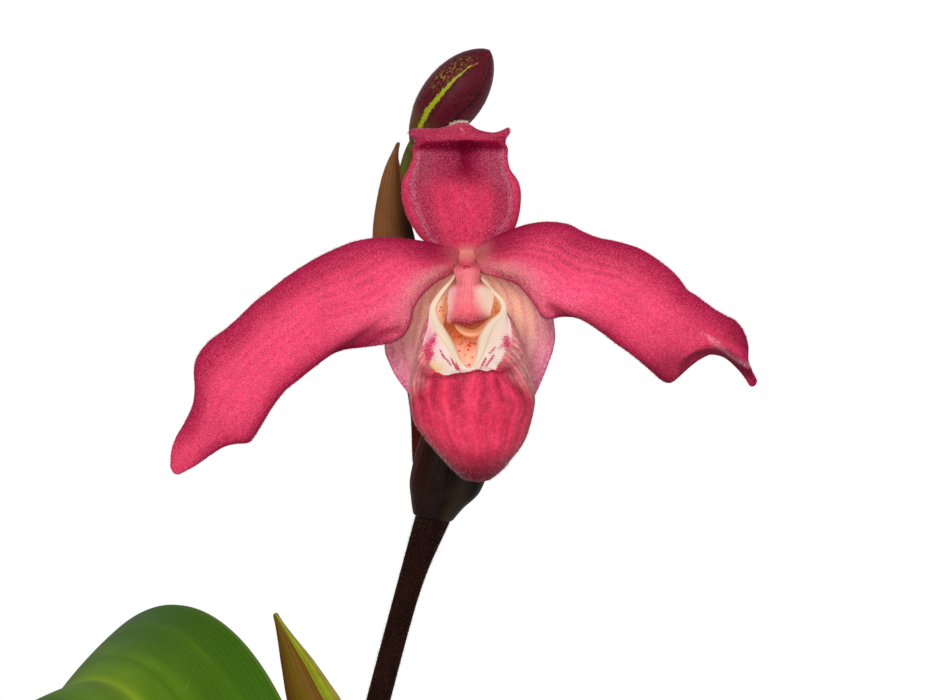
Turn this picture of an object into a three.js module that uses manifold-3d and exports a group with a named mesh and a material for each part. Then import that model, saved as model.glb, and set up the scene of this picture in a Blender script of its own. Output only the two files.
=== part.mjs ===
// A slipper orchid (Phragmipedium) in a plain clay pot: one open flower and a bud on a hairy
// flower stem, a fan of strap leaves, and its crown in bark. Millimetres, +Z up, the flower
// faces -Y, and the origin is the middle of the pot's flat foot.

import * as THREE from 'three';
import { mergeVertices } from 'three/addons/utils/BufferGeometryUtils.js';
import Module from 'manifold-3d';

const wasm = await Module();
wasm.setup();

// ---------------------------------------------------------------- driving dimensions

const GAP = 0.3;                 // between pieces that touch
const PETAL_THICK = 0.8;
const LEAF_THICK = 1.1;

const POT = {
  footRadius: 43, rimRadius: 64, height: 112, rimBand: 22, bandStep: 3.5,
  wall: 5, floor: 7, holes: 5, holeRadius: 5, holeRing: 24, sides: 40,
};

const BARK = { top: 97, chips: 34, chipLength: 17, chipWidth: 11, chipThick: 5, seed: 7 };

// roots leave the crown beside the fan, at these angles from the fan's own direction
const CROWN = { radius: 15, bottom: 62, top: 96, rootRadius: 2.3, rootAngles: [48, 92, 131, 243, 298] };

// the middle of the flower, where sepals, petals, lip and column meet
const FLOWER = new THREE.Vector3(39.5, -14, 330);

// leaves from the outermost to the innermost, on alternate sides of the fan
const FAN_DIRECTION = 135;       // degrees from +X towards +Y
const LEAVES = [
  { length: 225, halfWidth: 21, turn: -9, roll: 5, base: 12.6, opens: 0,
    rise: 20, bend: 96, from: -0.1, to: 0.8 },
  { length: 236, halfWidth: 22, turn: -8, roll: -6, base: 11, opens: 0.03,
    rise: 16, bend: 96, from: -0.05, to: 0.85 },
  { length: 248, halfWidth: 23, turn: 10, roll: -8, base: 9.5, opens: 0.08,
    rise: 11, bend: 104, from: 0, to: 0.85 },
  { length: 240, halfWidth: 22, turn: 8, roll: 7, base: 8.1, opens: 0.16,
    rise: 8, bend: 102, from: 0.1, to: 0.95 },
  { length: 264, halfWidth: 22.5, turn: -11, roll: -27, base: 6.5, opens: 0.15,
    rise: 2, bend: 150, from: 0.34, to: 0.9 },
  { length: 150, halfWidth: 15, turn: -9, roll: 4, base: 5, opens: 0.25,
    rise: 3, bend: 40, from: 0.25, to: 1 },
];
const LEAF_OPENING = 0.34;       // the share of the length over which the fold opens
const SHEATH_SHARE = 0.86;       // how far round the fan the folded base reaches

// points of the flower below are measured from its middle
const at = (x, y, z) => new THREE.Vector3(x, y, z).add(FLOWER);

// ---------------------------------------------------------------- small helpers

const radians = THREE.MathUtils.degToRad;
const lerp = THREE.MathUtils.lerp;
const smooth = (x, low, high) => THREE.MathUtils.smoothstep(x, low, high);

function seededRandom(seed) {
  let state = seed;
  return () => {
    state = (state * 1664525 + 1013904223) % 4294967296;
    return state / 4294967296;
  };
}

// a smooth curve through points, read by the points' own even spacing
function through(points, closed = false) {
  const curve = new THREE.CatmullRomCurve3(points, closed, 'catmullrom', 0.5);
  return (u) => curve.getPoint(THREE.MathUtils.clamp(u, 0, 1));
}

// a smooth run of plain numbers
function profile(values) {
  const curve = through(values.map((value) => new THREE.Vector3(value, 0, 0)));
  return (u) => curve(u).x;
}

function geometryOf(positions, triangles) {
  const geometry = new THREE.BufferGeometry();
  geometry.setAttribute('position', new THREE.Float32BufferAttribute(positions, 3));
  geometry.setIndex(triangles);
  return geometry;
}

// two triangles for the four corners of a patch
function patch(triangles, a, b, c, d) {
  triangles.push(a, b, c, a, c, d);
}

// A blade: the surface point(u, v) for u and v from 0 to 1, thickened evenly to both sides,
// with both faces split along the same diagonals.
function blade(point, uSteps, vSteps, thickness, wrap = false) {
  const step = 1e-3;
  const columns = wrap ? vSteps : vSteps + 1;
  const positions = [];
  const middle = [];
  const normals = [];
  for (let i = 0; i <= uSteps; i += 1) {
    for (let j = 0; j < columns; j += 1) {
      const u = i / uSteps;
      const v = j / vSteps;
      const alongU = point(Math.min(u + step, 1), v).sub(point(Math.max(u - step, 0), v));
      const low = wrap ? v - step : Math.max(v - step, 0);
      const high = wrap ? v + step : Math.min(v + step, 1);
      const alongV = point(u, high).sub(point(u, low));
      middle.push(point(u, v));
      normals.push(alongU.cross(alongV).normalize().multiplyScalar(thickness / 2));
    }
  }
  for (const side of [1, -1]) {
    middle.forEach((p, k) => positions.push(...p.clone().addScaledVector(normals[k], side)));
  }
  const count = middle.length;
  const triangles = [];
  for (let i = 0; i < uSteps; i += 1) {
    for (let j = 0; j < vSteps; j += 1) {
      const a = i * columns + j;
      const b = i * columns + ((j + 1) % columns);
      const c = b + columns;
      const d = a + columns;
      patch(triangles, a, d, c, b);
      patch(triangles, a + count, b + count, c + count, d + count);
    }
  }
  const edge = (a, b) => patch(triangles, a, b, b + count, a + count);
  for (let j = 0; j < vSteps; j += 1) {
    const last = uSteps * columns;
    edge(j, (j + 1) % columns);
    edge(last + ((j + 1) % columns), last + j);
  }
  for (let i = 0; i < uSteps && !wrap; i += 1) {
    edge((i + 1) * columns, i * columns);
    edge(i * columns + columns - 1, (i + 1) * columns + columns - 1);
  }
  return geometryOf(positions, triangles);
}

// A round bar along a path, with its own two radii at each place, closed by flat ends.
function bar(path, radius, steps, sides, flatten = () => 1, front = new THREE.Vector3(0, -1, 0)) {
  const positions = [];
  const triangles = [];
  for (let i = 0; i <= steps; i += 1) {
    const u = i / steps;
    const tangent = path(Math.min(u + 1e-3, 1)).sub(path(Math.max(u - 1e-3, 0))).normalize();
    const across = tangent.clone().cross(front).normalize();
    const forward = across.clone().cross(tangent).normalize();
    for (let j = 0; j < sides; j += 1) {
      const angle = (2 * Math.PI * j) / sides;
      const p = path(u).addScaledVector(across, radius(u) * Math.cos(angle));
      p.addScaledVector(forward, radius(u) * flatten(u) * Math.sin(angle));
      positions.push(...p);
    }
  }
  const last = steps * sides;
  for (let i = 0; i < steps; i += 1) {
    for (let j = 0; j < sides; j += 1) {
      const a = i * sides + j;
      const b = i * sides + ((j + 1) % sides);
      patch(triangles, a, a + sides, b + sides, b);
    }
  }
  for (let j = 1; j < sides - 1; j += 1) {
    triangles.push(0, j, j + 1);
    triangles.push(last, last + j + 1, last + j);
  }
  return geometryOf(positions, triangles);
}

function solid(geometry) {
  const bare = geometry.clone();
  bare.deleteAttribute('normal');
  bare.deleteAttribute('uv');
  const merged = mergeVertices(bare, 1e-4);
  const made = new wasm.Manifold(new wasm.Mesh({
    numProp: 3,
    vertProperties: new Float32Array(merged.attributes.position.array),
    triVerts: new Uint32Array(merged.index.array),
  }));
  return made.volume() < 0 ? solid(turnedInsideOut(merged)) : made;
}

function turnedInsideOut(geometry) {
  const index = Array.from(geometry.index.array);
  for (let i = 0; i < index.length; i += 3) {
    [index[i], index[i + 1]] = [index[i + 1], index[i]];
  }
  return geometryOf(Array.from(geometry.attributes.position.array), index);
}

function geometryFrom(manifold) {
  const mesh = manifold.getMesh();
  return geometryOf(Array.from(mesh.vertProperties), Array.from(mesh.triVerts));
}

// faces of a closed geometry turned outwards, whichever way its surface ran
function outward(geometry) {
  const p = geometry.attributes.position;
  const corner = (k) => new THREE.Vector3().fromBufferAttribute(p, geometry.index.array[k]);
  let volume = 0;
  for (let k = 0; k < geometry.index.count; k += 3) {
    volume += corner(k).dot(corner(k + 1).cross(corner(k + 2)));
  }
  return volume < 0 ? turnedInsideOut(geometry) : geometry;
}

const orchid = new THREE.Group();

function add(name, geometry, color, roughness) {
  const material = new THREE.MeshStandardMaterial({ color, roughness, metalness: 0 });
  const mesh = new THREE.Mesh(outward(geometry), material);
  mesh.name = name;
  orchid.add(mesh);
}

// ---------------------------------------------------------------- pot, bark and crown

function potWall(z) {
  return lerp(POT.footRadius, POT.rimRadius - POT.bandStep, z / (POT.height - POT.rimBand));
}

function makePot() {
  const band = POT.height - POT.rimBand;
  const lip = 1.5;
  const outline = [
    [0, 0], [POT.footRadius - 1, 0], [POT.footRadius, 1], [potWall(band), band],
    [POT.rimRadius - 1, band + 1], [POT.rimRadius, band + 3],
    [POT.rimRadius + 1, POT.height - lip], [POT.rimRadius - 0.5, POT.height],
    [POT.rimRadius - POT.wall, POT.height], [POT.rimRadius - POT.wall - lip, POT.height - lip],
    [potWall(band) - POT.wall, band], [potWall(POT.floor) - POT.wall, POT.floor], [0, POT.floor],
  ];
  const points = outline.map(([r, z]) => new THREE.Vector2(r, z));
  let pot = solid(new THREE.LatheGeometry(points, POT.sides).rotateX(Math.PI / 2));
  for (let i = 0; i < POT.holes; i += 1) {
    const angle = (2 * Math.PI * i) / POT.holes;
    const hole = new THREE.CylinderGeometry(POT.holeRadius, POT.holeRadius, 4 * POT.floor, 16);
    hole.rotateX(Math.PI / 2);
    hole.translate(POT.holeRing * Math.cos(angle), POT.holeRing * Math.sin(angle), 0);
    pot = pot.subtract(solid(hole));
  }
  return geometryFrom(pot);
}

// Thick roots leave the crown just above the bark and dive into it.
function rootPaths() {
  const random = seededRandom(3);
  return CROWN.rootAngles.map((beside) => {
    const angle = radians(FAN_DIRECTION + beside);
    const reach = 26 + 12 * random();
    const sway = 0.35 * (random() - 0.5);
    const spot = (r, a, z) => new THREE.Vector3(r * Math.cos(a), r * Math.sin(a), z);
    return through([
      spot(6, angle, CROWN.top - 8), spot(16, angle, CROWN.top + 1),
      spot(reach, angle + sway, CROWN.top - 1), spot(reach + 9, angle + 1.4 * sway, CROWN.top - 9),
    ]);
  });
}

// the crown and its roots, grown by extra where it cuts their place out of the bark
function crownSolid(extra) {
  const { radius, bottom, top, rootRadius } = CROWN;
  const outline = [
    [0, bottom - extra], [radius * 0.6, bottom - extra], [radius + extra, bottom + 10],
    [radius + extra, top - 4], [radius - 3 + extra, top + extra], [0, top + extra],
  ];
  const points = outline.map(([r, z]) => new THREE.Vector2(r, z));
  let crown = solid(new THREE.LatheGeometry(points, 20).rotateX(Math.PI / 2));
  // the coarse roots need more room round them than the round crown does
  const upwards = new THREE.Vector3(0, 0, 1);
  for (const path of rootPaths()) {
    const root = bar(path, () => rootRadius + 1.3 * extra, 6, 8, () => 1, upwards);
    const tip = new THREE.SphereGeometry(rootRadius + 3.5 * extra, 6, 4).translate(...path(1));
    crown = crown.add(solid(root)).add(solid(tip));
  }
  return crown;
}

function makeBark() {
  const { top, chips, chipLength, chipWidth, chipThick, seed } = BARK;
  const inner = (z) => potWall(z) - POT.wall - GAP;
  const outline = [[0, POT.floor + GAP], [inner(POT.floor + GAP) - 0.2, POT.floor + GAP],
    [inner(top - 9), top - 9], [inner(top - 9) - 3, top], [0, top]];
  const points = outline.map(([r, z]) => new THREE.Vector2(r, z));
  let bark = solid(new THREE.LatheGeometry(points, 32).rotateX(Math.PI / 2));
  const random = seededRandom(seed);
  const reach = inner(top - 9) - chipLength / 2 - 1.5;
  for (let i = 0; i < chips; i += 1) {
    // spread by the golden angle, so that the chips cover the top evenly
    const radius = reach * Math.sqrt((i + 0.5) / chips);
    const angle = i * radians(137.5);
    const chip = new THREE.BoxGeometry(
      chipLength * (0.6 + 0.4 * random()), chipWidth * (0.6 + 0.4 * random()), chipThick);
    chip.rotateX(0.5 * (random() - 0.5));
    chip.rotateY(0.5 * (random() - 0.5));
    chip.rotateZ(2 * Math.PI * random());
    chip.translate(radius * Math.cos(angle), radius * Math.sin(angle), top + 0.5 * (random() - 0.5));
    bark = bark.add(solid(chip));
  }
  bark = bark.subtract(crownSolid(GAP));
  const well = new THREE.CylinderGeometry(CROWN.radius + GAP, CROWN.radius + GAP, 30, 24);
  well.rotateX(Math.PI / 2);
  well.translate(0, 0, CROWN.top + 13);
  // crumbs that the roots' places cut off are dropped
  const pieces = bark.subtract(solid(well)).decompose();
  const larger = (a, b) => (b.volume() > a.volume() ? b : a);
  return geometryFrom(pieces.reduce(larger));
}

// ---------------------------------------------------------------- leaves

// The midrib starts upright in the fan and bends over: its slope from the vertical grows from
// rise to rise + bend between the two fractions of its length, from and to.
function midrib(leaf, direction) {
  const steps = 60;
  const points = [direction.clone().multiplyScalar(leaf.base).setZ(CROWN.top + GAP)];
  for (let i = 0; i < steps; i += 1) {
    const slope = radians(leaf.rise + leaf.bend * smooth((i + 0.5) / steps, leaf.from, leaf.to));
    const move = direction.clone().multiplyScalar(Math.sin(slope)).setZ(Math.cos(slope));
    points.push(points[i].clone().addScaledVector(move, leaf.length / steps));
  }
  return through(points);
}

// A leaf is folded round the fan at its base and opens to a shallow channel. Across the blade, at
// a distance a from the midrib, it stands at x = h tanh(a / h) sideways and sqrt(a^2 - x^2) up,
// where h is half the fold's width; the open blade's wings then droop again towards their edges.
function makeLeaf(leaf, side) {
  const heading = radians(FAN_DIRECTION + leaf.turn + (side < 0 ? 180 : 0));
  const direction = new THREE.Vector3(Math.cos(heading), Math.sin(heading), 0);
  const across = new THREE.Vector3(-direction.y, direction.x, 0);
  const path = midrib(leaf, direction);
  const sheath = (SHEATH_SHARE * Math.SQRT2 * leaf.base) / leaf.halfWidth;
  const point = (u, v) => {
    const base = path(u);
    const tangent = path(Math.min(u + 5e-3, 1)).sub(path(Math.max(u - 5e-3, 0))).normalize();
    const up = tangent.clone().cross(across).normalize();
    if (up.dot(direction) > 0) {
      up.negate();
    }
    const open = smooth(u, leaf.opens, leaf.opens + LEAF_OPENING);
    const widening = lerp(sheath, 1, open);
    const taper = Math.sqrt(1 - 0.985 * smooth(u, 0.5, 1.06) ** 2);
    const wing = (2 * v - 1) * leaf.halfWidth * widening * taper;
    const fold = leaf.base + 90 * open ** 1.6;
    const x = fold * Math.tanh(wing / fold);
    const channel = Math.sqrt(Math.max(wing * wing - x * x, 0));
    const gutter = open * (0.3 * Math.abs(wing) - 0.34 * wing * wing / leaf.halfWidth);
    const roll = radians(leaf.roll) * smooth(u, 0.15, 0.6);
    const lift = channel + gutter;
    return base
      .addScaledVector(across, x * Math.cos(roll) - lift * Math.sin(roll))
      .addScaledVector(up, x * Math.sin(roll) + lift * Math.cos(roll));
  };
  return blade(point, 20, 6, LEAF_THICK);
}

// ---------------------------------------------------------------- stem and bracts

const NODE = at(-6.7, 9.5, -45.8);       // where the flower's own stalk leaves the stem

const STEM_PATH = through([
  new THREE.Vector3(0, 0, CROWN.top + GAP), new THREE.Vector3(0.6, -0.2, 124),
  new THREE.Vector3(3.6, -1, 158), new THREE.Vector3(9.2, -2.4, 192),
  at(-23.2, 9.6, -105), at(-16, 9, -77), at(-10.6, 9, -57), NODE,
]);
const STEM_RADIUS = profile([2.6, 2.4, 2.3, 2.2, 2.1, 2.05, 2.1, 2.8]);

const RACHIS_PATH = through([
  at(-7.3, 10.7, -44.9), at(-7.7, 12.8, -41), at(-8.5, 14.4, -36), at(-9, 16, -27),
  at(-11, 17.8, -15), at(-13, 18.6, -5), at(-13.3, 18.6, 3.6),
]);

// A bract wraps its stem as a sheath and opens to a keeled blade: round the path at radius r, over
// half the angle w to each side of the way that it faces, pushed out along its keel.
function bract(path, facing, radius, halfAngle, keel, steps, flatten = () => 1) {
  const point = (u, v) => {
    const tangent = path(Math.min(u + 1e-3, 1)).sub(path(Math.max(u - 1e-3, 0))).normalize();
    const across = tangent.clone().cross(facing).normalize();
    const forward = across.clone().cross(tangent).normalize();
    const side = 2 * v - 1;
    const angle = radians(halfAngle(u)) * side;
    const reach = radius(u) + keel(u) * (1 - Math.abs(side));
    return path(u)
      .addScaledVector(across, reach * Math.sin(angle))
      .addScaledVector(forward, flatten(u) * reach * Math.cos(angle));
  };
  return blade(point, steps, 8, PETAL_THICK);
}

function makeStemBract() {
  const path = through([
    at(-21.7, 9.5, -99), at(-20.8, 9.4, -94.5), at(-20.2, 9.4, -89), at(-23.2, 9.5, -83),
    at(-26.7, 9.6, -77.5), at(-29.7, 9.6, -70.8), at(-31.9, 9.4, -66), at(-33.9, 9.2, -61.8),
  ]);
  const radius = profile([2.9, 3.3, 4.5, 5.2, 4.8, 3.1, 1.7, 0.8]);
  const halfAngle = profile([168, 150, 84, 55, 68, 66, 52, 30]);
  const keel = profile([0, 0.2, 0.5, 0.9, 1, 0.8, 0.4, 0]);
  return bract(path, new THREE.Vector3(-0.35, -1, 0.1), radius, halfAngle, keel, 14);
}

function makeFlowerBract() {
  const path = through([
    at(-6.6, 9.6, -45), at(-5.5, 9.8, -42.6), at(-4.1, 9.9, -39.3), at(-2.9, 10.2, -34),
    at(-2.2, 10.3, -28), at(-1.8, 9.9, -22), at(-1.6, 9.4, -17),
  ]);
  const radius = profile([3.1, 4.5, 5.9, 5.7, 4.7, 3.4, 2]);
  const halfAngle = profile([134, 102, 98, 92, 80, 60, 30]);
  const keel = profile([0, 0.2, 0.5, 0.6, 0.5, 0.2, 0]);
  const flatten = profile([1, 0.9, 0.75, 0.7, 0.7, 0.7, 0.7]);
  return bract(path, new THREE.Vector3(0.12, -1, 0), radius, halfAngle, keel, 14, flatten);
}

function makeUpperBract() {
  const path = through([
    at(-12.8, 18.6, -8), at(-13.3, 18.6, -2.6), at(-13.5, 18.6, 3.4), at(-13.2, 18.5, 9.6),
    at(-12.8, 18.3, 15), at(-12.4, 18.1, 20),
  ]);
  const radius = profile([2.6, 2.9, 3, 2.6, 1.8, 0.8]);
  const halfAngle = profile([165, 145, 120, 90, 66, 40]);
  const keel = profile([0, 0.2, 0.5, 0.5, 0.3, 0]);
  return bract(path, new THREE.Vector3(-0.75, -0.8, 0), radius, halfAngle, keel, 12);
}

// ---------------------------------------------------------------- bud and ovary

function makeBud() {
  const path = through([
    at(-13.2, 18.7, 4.2), at(-12.5, 18.8, 10), at(-11.4, 18.2, 15), at(-10.7, 16.2, 19),
    at(-9.9, 14.8, 21.7), at(-8.2, 14.2, 23.6), at(-6, 14, 25.4), at(-3, 14, 28.1),
    at(0, 14, 31.1), at(2.2, 13.9, 33.4), at(3.8, 13.7, 35.1),
  ]);
  const radius = profile([0.9, 0.95, 1, 1.1, 2, 3.4, 4.1, 4.35, 4, 2.9, 0.6]);
  return bar(path, radius, 26, 12);
}

const OVARY_PATH = through([
  at(-5.6, 8.8, -44.8), at(-4.6, 9.8, -40), at(-3.2, 11.4, -30), at(-2, 12.4, -20), at(-1, 11.8, -11),
  at(-0.6, 9.2, -4.6), at(-0.4, 6, -0.9), at(-0.4, 3.2, -0.1),
]);

function makeOvary() {
  return bar(OVARY_PATH, profile([1, 1.6, 2.1, 2.4, 2.5, 2.5, 2.4, 2]), 16, 10);
}

// ---------------------------------------------------------------- the open flower

// A petal is a sheet between two edges. It swells forward near the column, by 1.6 times
// sin(pi v), and its two edges wave against each other further out.
function petal(upper, lower) {
  const top = through(upper.map((p) => at(...p)));
  const bottom = through(lower.map((p) => at(...p)));
  const swell = 1.6;
  const wave = 1.1;
  const point = (u, v) => {
    const p = top(u).lerp(bottom(u), v);
    p.y -= swell * Math.sin(Math.PI * v) * (1 - u) * smooth(u, 0, 0.14);
    p.y += wave * Math.sin(3 * Math.PI * u) * (v - 0.5);
    return p;
  };
  return blade(point, 22, 8, PETAL_THICK);
}

function makeLeftPetal() {
  const upper = [
    [-1, 1.1, 2], [-7.8, -1.5, 3.5], [-16.8, -2, 4.3], [-27.4, -3, 0.4], [-38, -4, -8.1],
    [-45.6, -3.5, -14.5], [-46.7, -2, -20.8], [-50.5, -1, -31], [-51.3, 0, -35],
  ];
  const lower = [
    [-1.7, 1.1, -1.9], [-8.9, -4.4, -6.1], [-12.1, -5.2, -13.1], [-22.7, -4, -15], [-30.5, -3, -21],
    [-35.3, -3, -27.5], [-37.9, -2.5, -30.8], [-46, -1.5, -33.7], [-50, 0, -36.1],
  ];
  return petal(upper, lower);
}

function makeRightPetal() {
  const upper = [
    [0.4, 1.1, 2.2], [7.3, -1, 5.7], [13.9, -1.5, 6.9], [22.2, -2.5, 4.2], [32.7, -4, -0.6],
    [43.1, -4, -8.6], [46.9, -3, -12.7], [47.1, -1, -16.6], [49.1, 1, -20],
  ];
  const lower = [
    [1.2, 1.1, -1.7], [7.9, -4.4, -4.1], [12.6, -5.2, -9.4], [19.6, -4.5, -9.8], [29.4, -4, -16.9],
    [33.7, -4, -20.1], [38.8, -2.5, -15.8], [45.2, -1, -17.2], [48.2, 1, -21.3],
  ];
  return petal(upper, lower);
}

// The dorsal sepal: rising, bent forward into a hood, and its tip turned up again.
const SEPAL_MIDDLE = [
  [-0.4, 2.3, 1.6], [-0.9, 3.2, 5.6], [-1.5, 3.6, 10.5], [-2, 2.6, 15], [-1.7, 0.2, 18.6],
  [-1.6, -2.2, 20.6], [-1.8, -1.6, 23.2],
];
const SEPAL_HALF_WIDTH = [4.2, 8.4, 9.9, 8.7, 7.7, 7.7, 8.4];
const SEPAL_HOLLOW = [0, 2, 3.4, 3.2, 1.6, 0.4, 0.3];
const SEPAL_MARGIN = 0.82;

function makeDorsalSepal() {
  const middle = through(SEPAL_MIDDLE.map((p) => at(...p)));
  const halfWidth = profile(SEPAL_HALF_WIDTH);
  const hollow = profile(SEPAL_HOLLOW);
  const point = (u, v) => {
    const side = 2 * v - 1;
    const p = middle(u);
    p.x += halfWidth(u) * side;
    const rim = Math.abs(side) / SEPAL_MARGIN;          // past 1, the margin turns back again
    p.y -= hollow(u) * (Math.min(rim, 1) ** 2 - 3 * SEPAL_MARGIN * Math.max(rim - 1, 0));
    p.z += smooth(u, 0.75, 1) * (0.75 * Math.cos(2.1 * Math.PI * side) - 0.75);
    return p;
  };
  return blade(point, 14, 12, PETAL_THICK);
}

// The two lower sepals are grown together into one cupped blade behind the lip.
function makeSynsepal() {
  const middle = through([
    at(-0.4, 2.1, -1.9), at(-0.3, 3.8, -6), at(-0.2, 6, -12), at(0, 6.2, -19),
    at(0.3, 4.6, -26), at(0.6, 3.4, -32), at(0.8, 3, -35.5),
  ]);
  const halfWidth = profile([3.8, 12, 14.7, 13.2, 10, 5.6, 0.9]);
  const hollow = profile([0.4, 2.6, 3.6, 3.2, 2.4, 1.4, 0.2]);
  const point = (u, v) => {
    const side = 2 * v - 1;
    const p = middle(u);
    p.x += halfWidth(u) * side;
    p.y -= hollow(u) * side * side;
    p.z += 1.6 * (1 - u) * side * Math.min(4 * u, 1);
    return p;
  };
  return blade(point, 14, 10, PETAL_THICK);
}

// The lip is a slipper: rings of points from the toe up to the edge of its opening, each ring
// starting at the front and turning by the wearer's left through the back.
const POUCH_EQUATOR = { x: 0.5, y: -10.9, z: -23, halfWidth: 10.6, halfDepth: 10.4, tilt: 1.2 };
const POUCH_LOWER = { x: 1.1, y: -11.2, z: -30.4, halfWidth: 7.3, halfDepth: 7.8, tilt: 0.4 };
const POUCH_TOE = { x: 1.9, y: -12, z: -35.2, halfWidth: 1.4, halfDepth: 1.5, tilt: 0 };
const POUCH_SHOULDER = [
  [0, -20.2, -17], [5, -18.4, -17.6], [9, -14.6, -18], [10.2, -9.6, -16.8], [8.5, -5.4, -12.8],
  [5.9, -2.6, -7.4], [-0.2, -0.9, -3.6], [-6.3, -2.6, -7.4], [-8.3, -5.4, -13], [-9.4, -9.6, -17.2],
  [-8.7, -14.6, -19], [-4.8, -18.4, -18.3],
];
const POUCH_EDGE = [
  [-0.3, -17.6, -18.1], [0.7, -14.4, -16.8], [2, -10.5, -13.4], [4.6, -7.3, -10.6], [6.1, -4.8, -8],
  [4.6, -3, -4.9], [-0.3, -1.9, -2.6], [-4.8, -3, -4.9], [-6.7, -4.8, -8.2], [-6.1, -7.1, -10.8],
  [-4.3, -10.5, -13.8], [-1.8, -14.4, -17],
];

function ovalRing({ x, y, z, halfWidth, halfDepth, tilt }) {
  return POUCH_EDGE.map((_, k) => {
    const angle = (2 * Math.PI * k) / POUCH_EDGE.length;
    return at(x + halfWidth * Math.sin(angle), y - halfDepth * Math.cos(angle), z - tilt * Math.cos(angle));
  });
}

function makePouch() {
  const rings = [
    ovalRing(POUCH_TOE), ovalRing(POUCH_LOWER), ovalRing(POUCH_EQUATOR),
    POUCH_SHOULDER.map((p) => at(...p)), POUCH_EDGE.map((p) => at(...p)),
  ].map((ring) => through(ring, true));
  const point = (u, v) => through(rings.map((ring) => ring(((v % 1) + 1) % 1)))(u);
  const wall = blade(point, 13, 24, PETAL_THICK, true);
  const toe = new THREE.SphereGeometry(1, 12, 8).scale(2.1, 2.1, 1.1);
  toe.translate(...at(POUCH_TOE.x, POUCH_TOE.y, POUCH_TOE.z + 0.25));
  return geometryFrom(solid(wall).add(solid(toe)));
}

// The column: a rounded head, a neck, and the shield that it carries over the lip's opening.
function makeColumn() {
  const path = through([
    at(-0.5, 0.3, 0.3), at(-0.5, -2.2, 0.1), at(-0.4, -4.4, -1), at(-0.3, -5.4, -3.4),
    at(-0.2, -6.6, -6), at(0.1, -7.8, -8.6), at(0.3, -8, -10.6),
  ]);
  const halfWidth = profile([1, 1.4, 1.9, 2.1, 4.2, 4.8, 1.9]);
  const neck = bar(path, halfWidth, 12, 14, profile([1, 1, 0.9, 0.75, 0.42, 0.34, 0.5]));
  const stigma = new THREE.SphereGeometry(1, 14, 8).scale(3, 1.5, 1.3);
  stigma.translate(...at(0.4, -6.2, -10.4));
  return geometryFrom(solid(neck).add(solid(stigma)));
}

// ---------------------------------------------------------------- the plant

add('pot', makePot(), 0xb5623f, 0.9);
add('bark', makeBark(), 0x5a3a25, 0.95);
add('crown', geometryFrom(crownSolid(0)), 0x8d8456, 0.8);
LEAVES.forEach((leaf, i) => {
  add(`leaf_${i + 1}`, makeLeaf(leaf, i % 2 ? -1 : 1), 0x3f7f22, 0.45);
});
add('stem', bar(STEM_PATH, STEM_RADIUS, 24, 10), 0x24120e, 0.6);
add('rachis', bar(RACHIS_PATH, profile([1, 1.3, 1.6, 1.6, 1.6, 1.5, 1.3]), 14, 8), 0x4a1a14, 0.6);
add('stem_bract', makeStemBract(), 0x7d8f2c, 0.5);
add('flower_bract', makeFlowerBract(), 0x1c0c09, 0.3);
add('upper_bract', makeUpperBract(), 0x5f3d22, 0.8);
add('bud', makeBud(), 0x4a1020, 0.4);
add('ovary', makeOvary(), 0x4e1b22, 0.6);
add('dorsal_sepal', makeDorsalSepal(), 0xb8234f, 0.6);
add('synsepal', makeSynsepal(), 0xe39aa6, 0.6);
add('petal_left', makeLeftPetal(), 0xd0305e, 0.6);
add('petal_right', makeRightPetal(), 0xd0305e, 0.6);
add('pouch', makePouch(), 0xc01f45, 0.5);
add('column', makeColumn(), 0xe9a9a8, 0.35);

export default orchid;
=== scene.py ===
import bpy
import numpy as np
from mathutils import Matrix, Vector


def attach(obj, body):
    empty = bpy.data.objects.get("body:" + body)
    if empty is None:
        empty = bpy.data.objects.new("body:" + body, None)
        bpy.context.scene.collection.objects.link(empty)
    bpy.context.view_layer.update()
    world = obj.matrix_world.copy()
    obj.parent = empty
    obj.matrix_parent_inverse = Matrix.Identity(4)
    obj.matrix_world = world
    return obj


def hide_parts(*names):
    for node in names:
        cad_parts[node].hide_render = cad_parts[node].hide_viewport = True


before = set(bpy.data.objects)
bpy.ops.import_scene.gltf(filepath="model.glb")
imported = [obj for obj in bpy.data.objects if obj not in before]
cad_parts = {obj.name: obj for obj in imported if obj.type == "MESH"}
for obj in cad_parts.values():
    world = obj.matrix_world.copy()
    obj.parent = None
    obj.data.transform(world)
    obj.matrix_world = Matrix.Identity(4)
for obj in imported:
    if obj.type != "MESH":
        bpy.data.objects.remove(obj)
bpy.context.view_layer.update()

metre = 0.001                                        # metres in one millimetre
flowerMiddle = np.array([39.5, -14.0, 330.0])
rootDepth = 0.02                                     # how far a hair's root is sunk in the skin
leastDensity = 1e-6


# ---- curves and surfaces

def ramp(x, low, high):
    t = np.clip((x - low) / (high - low), 0, 1)      # 3 t^2 - 2 t^3
    return t * t * (3 - 2 * t)


def blend(a, b, t):
    return a + (b - a) * t


def bump(x, middle, width):
    return np.exp(-((x - middle) / width) ** 2)


def unit(vectors):
    length = np.linalg.norm(vectors, axis=-1, keepdims=True)
    return vectors / np.maximum(length, 1e-9)


def turnSteps(count):                                # the angles of even steps round a circle
    return 2 * np.pi * np.arange(count) / count


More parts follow.
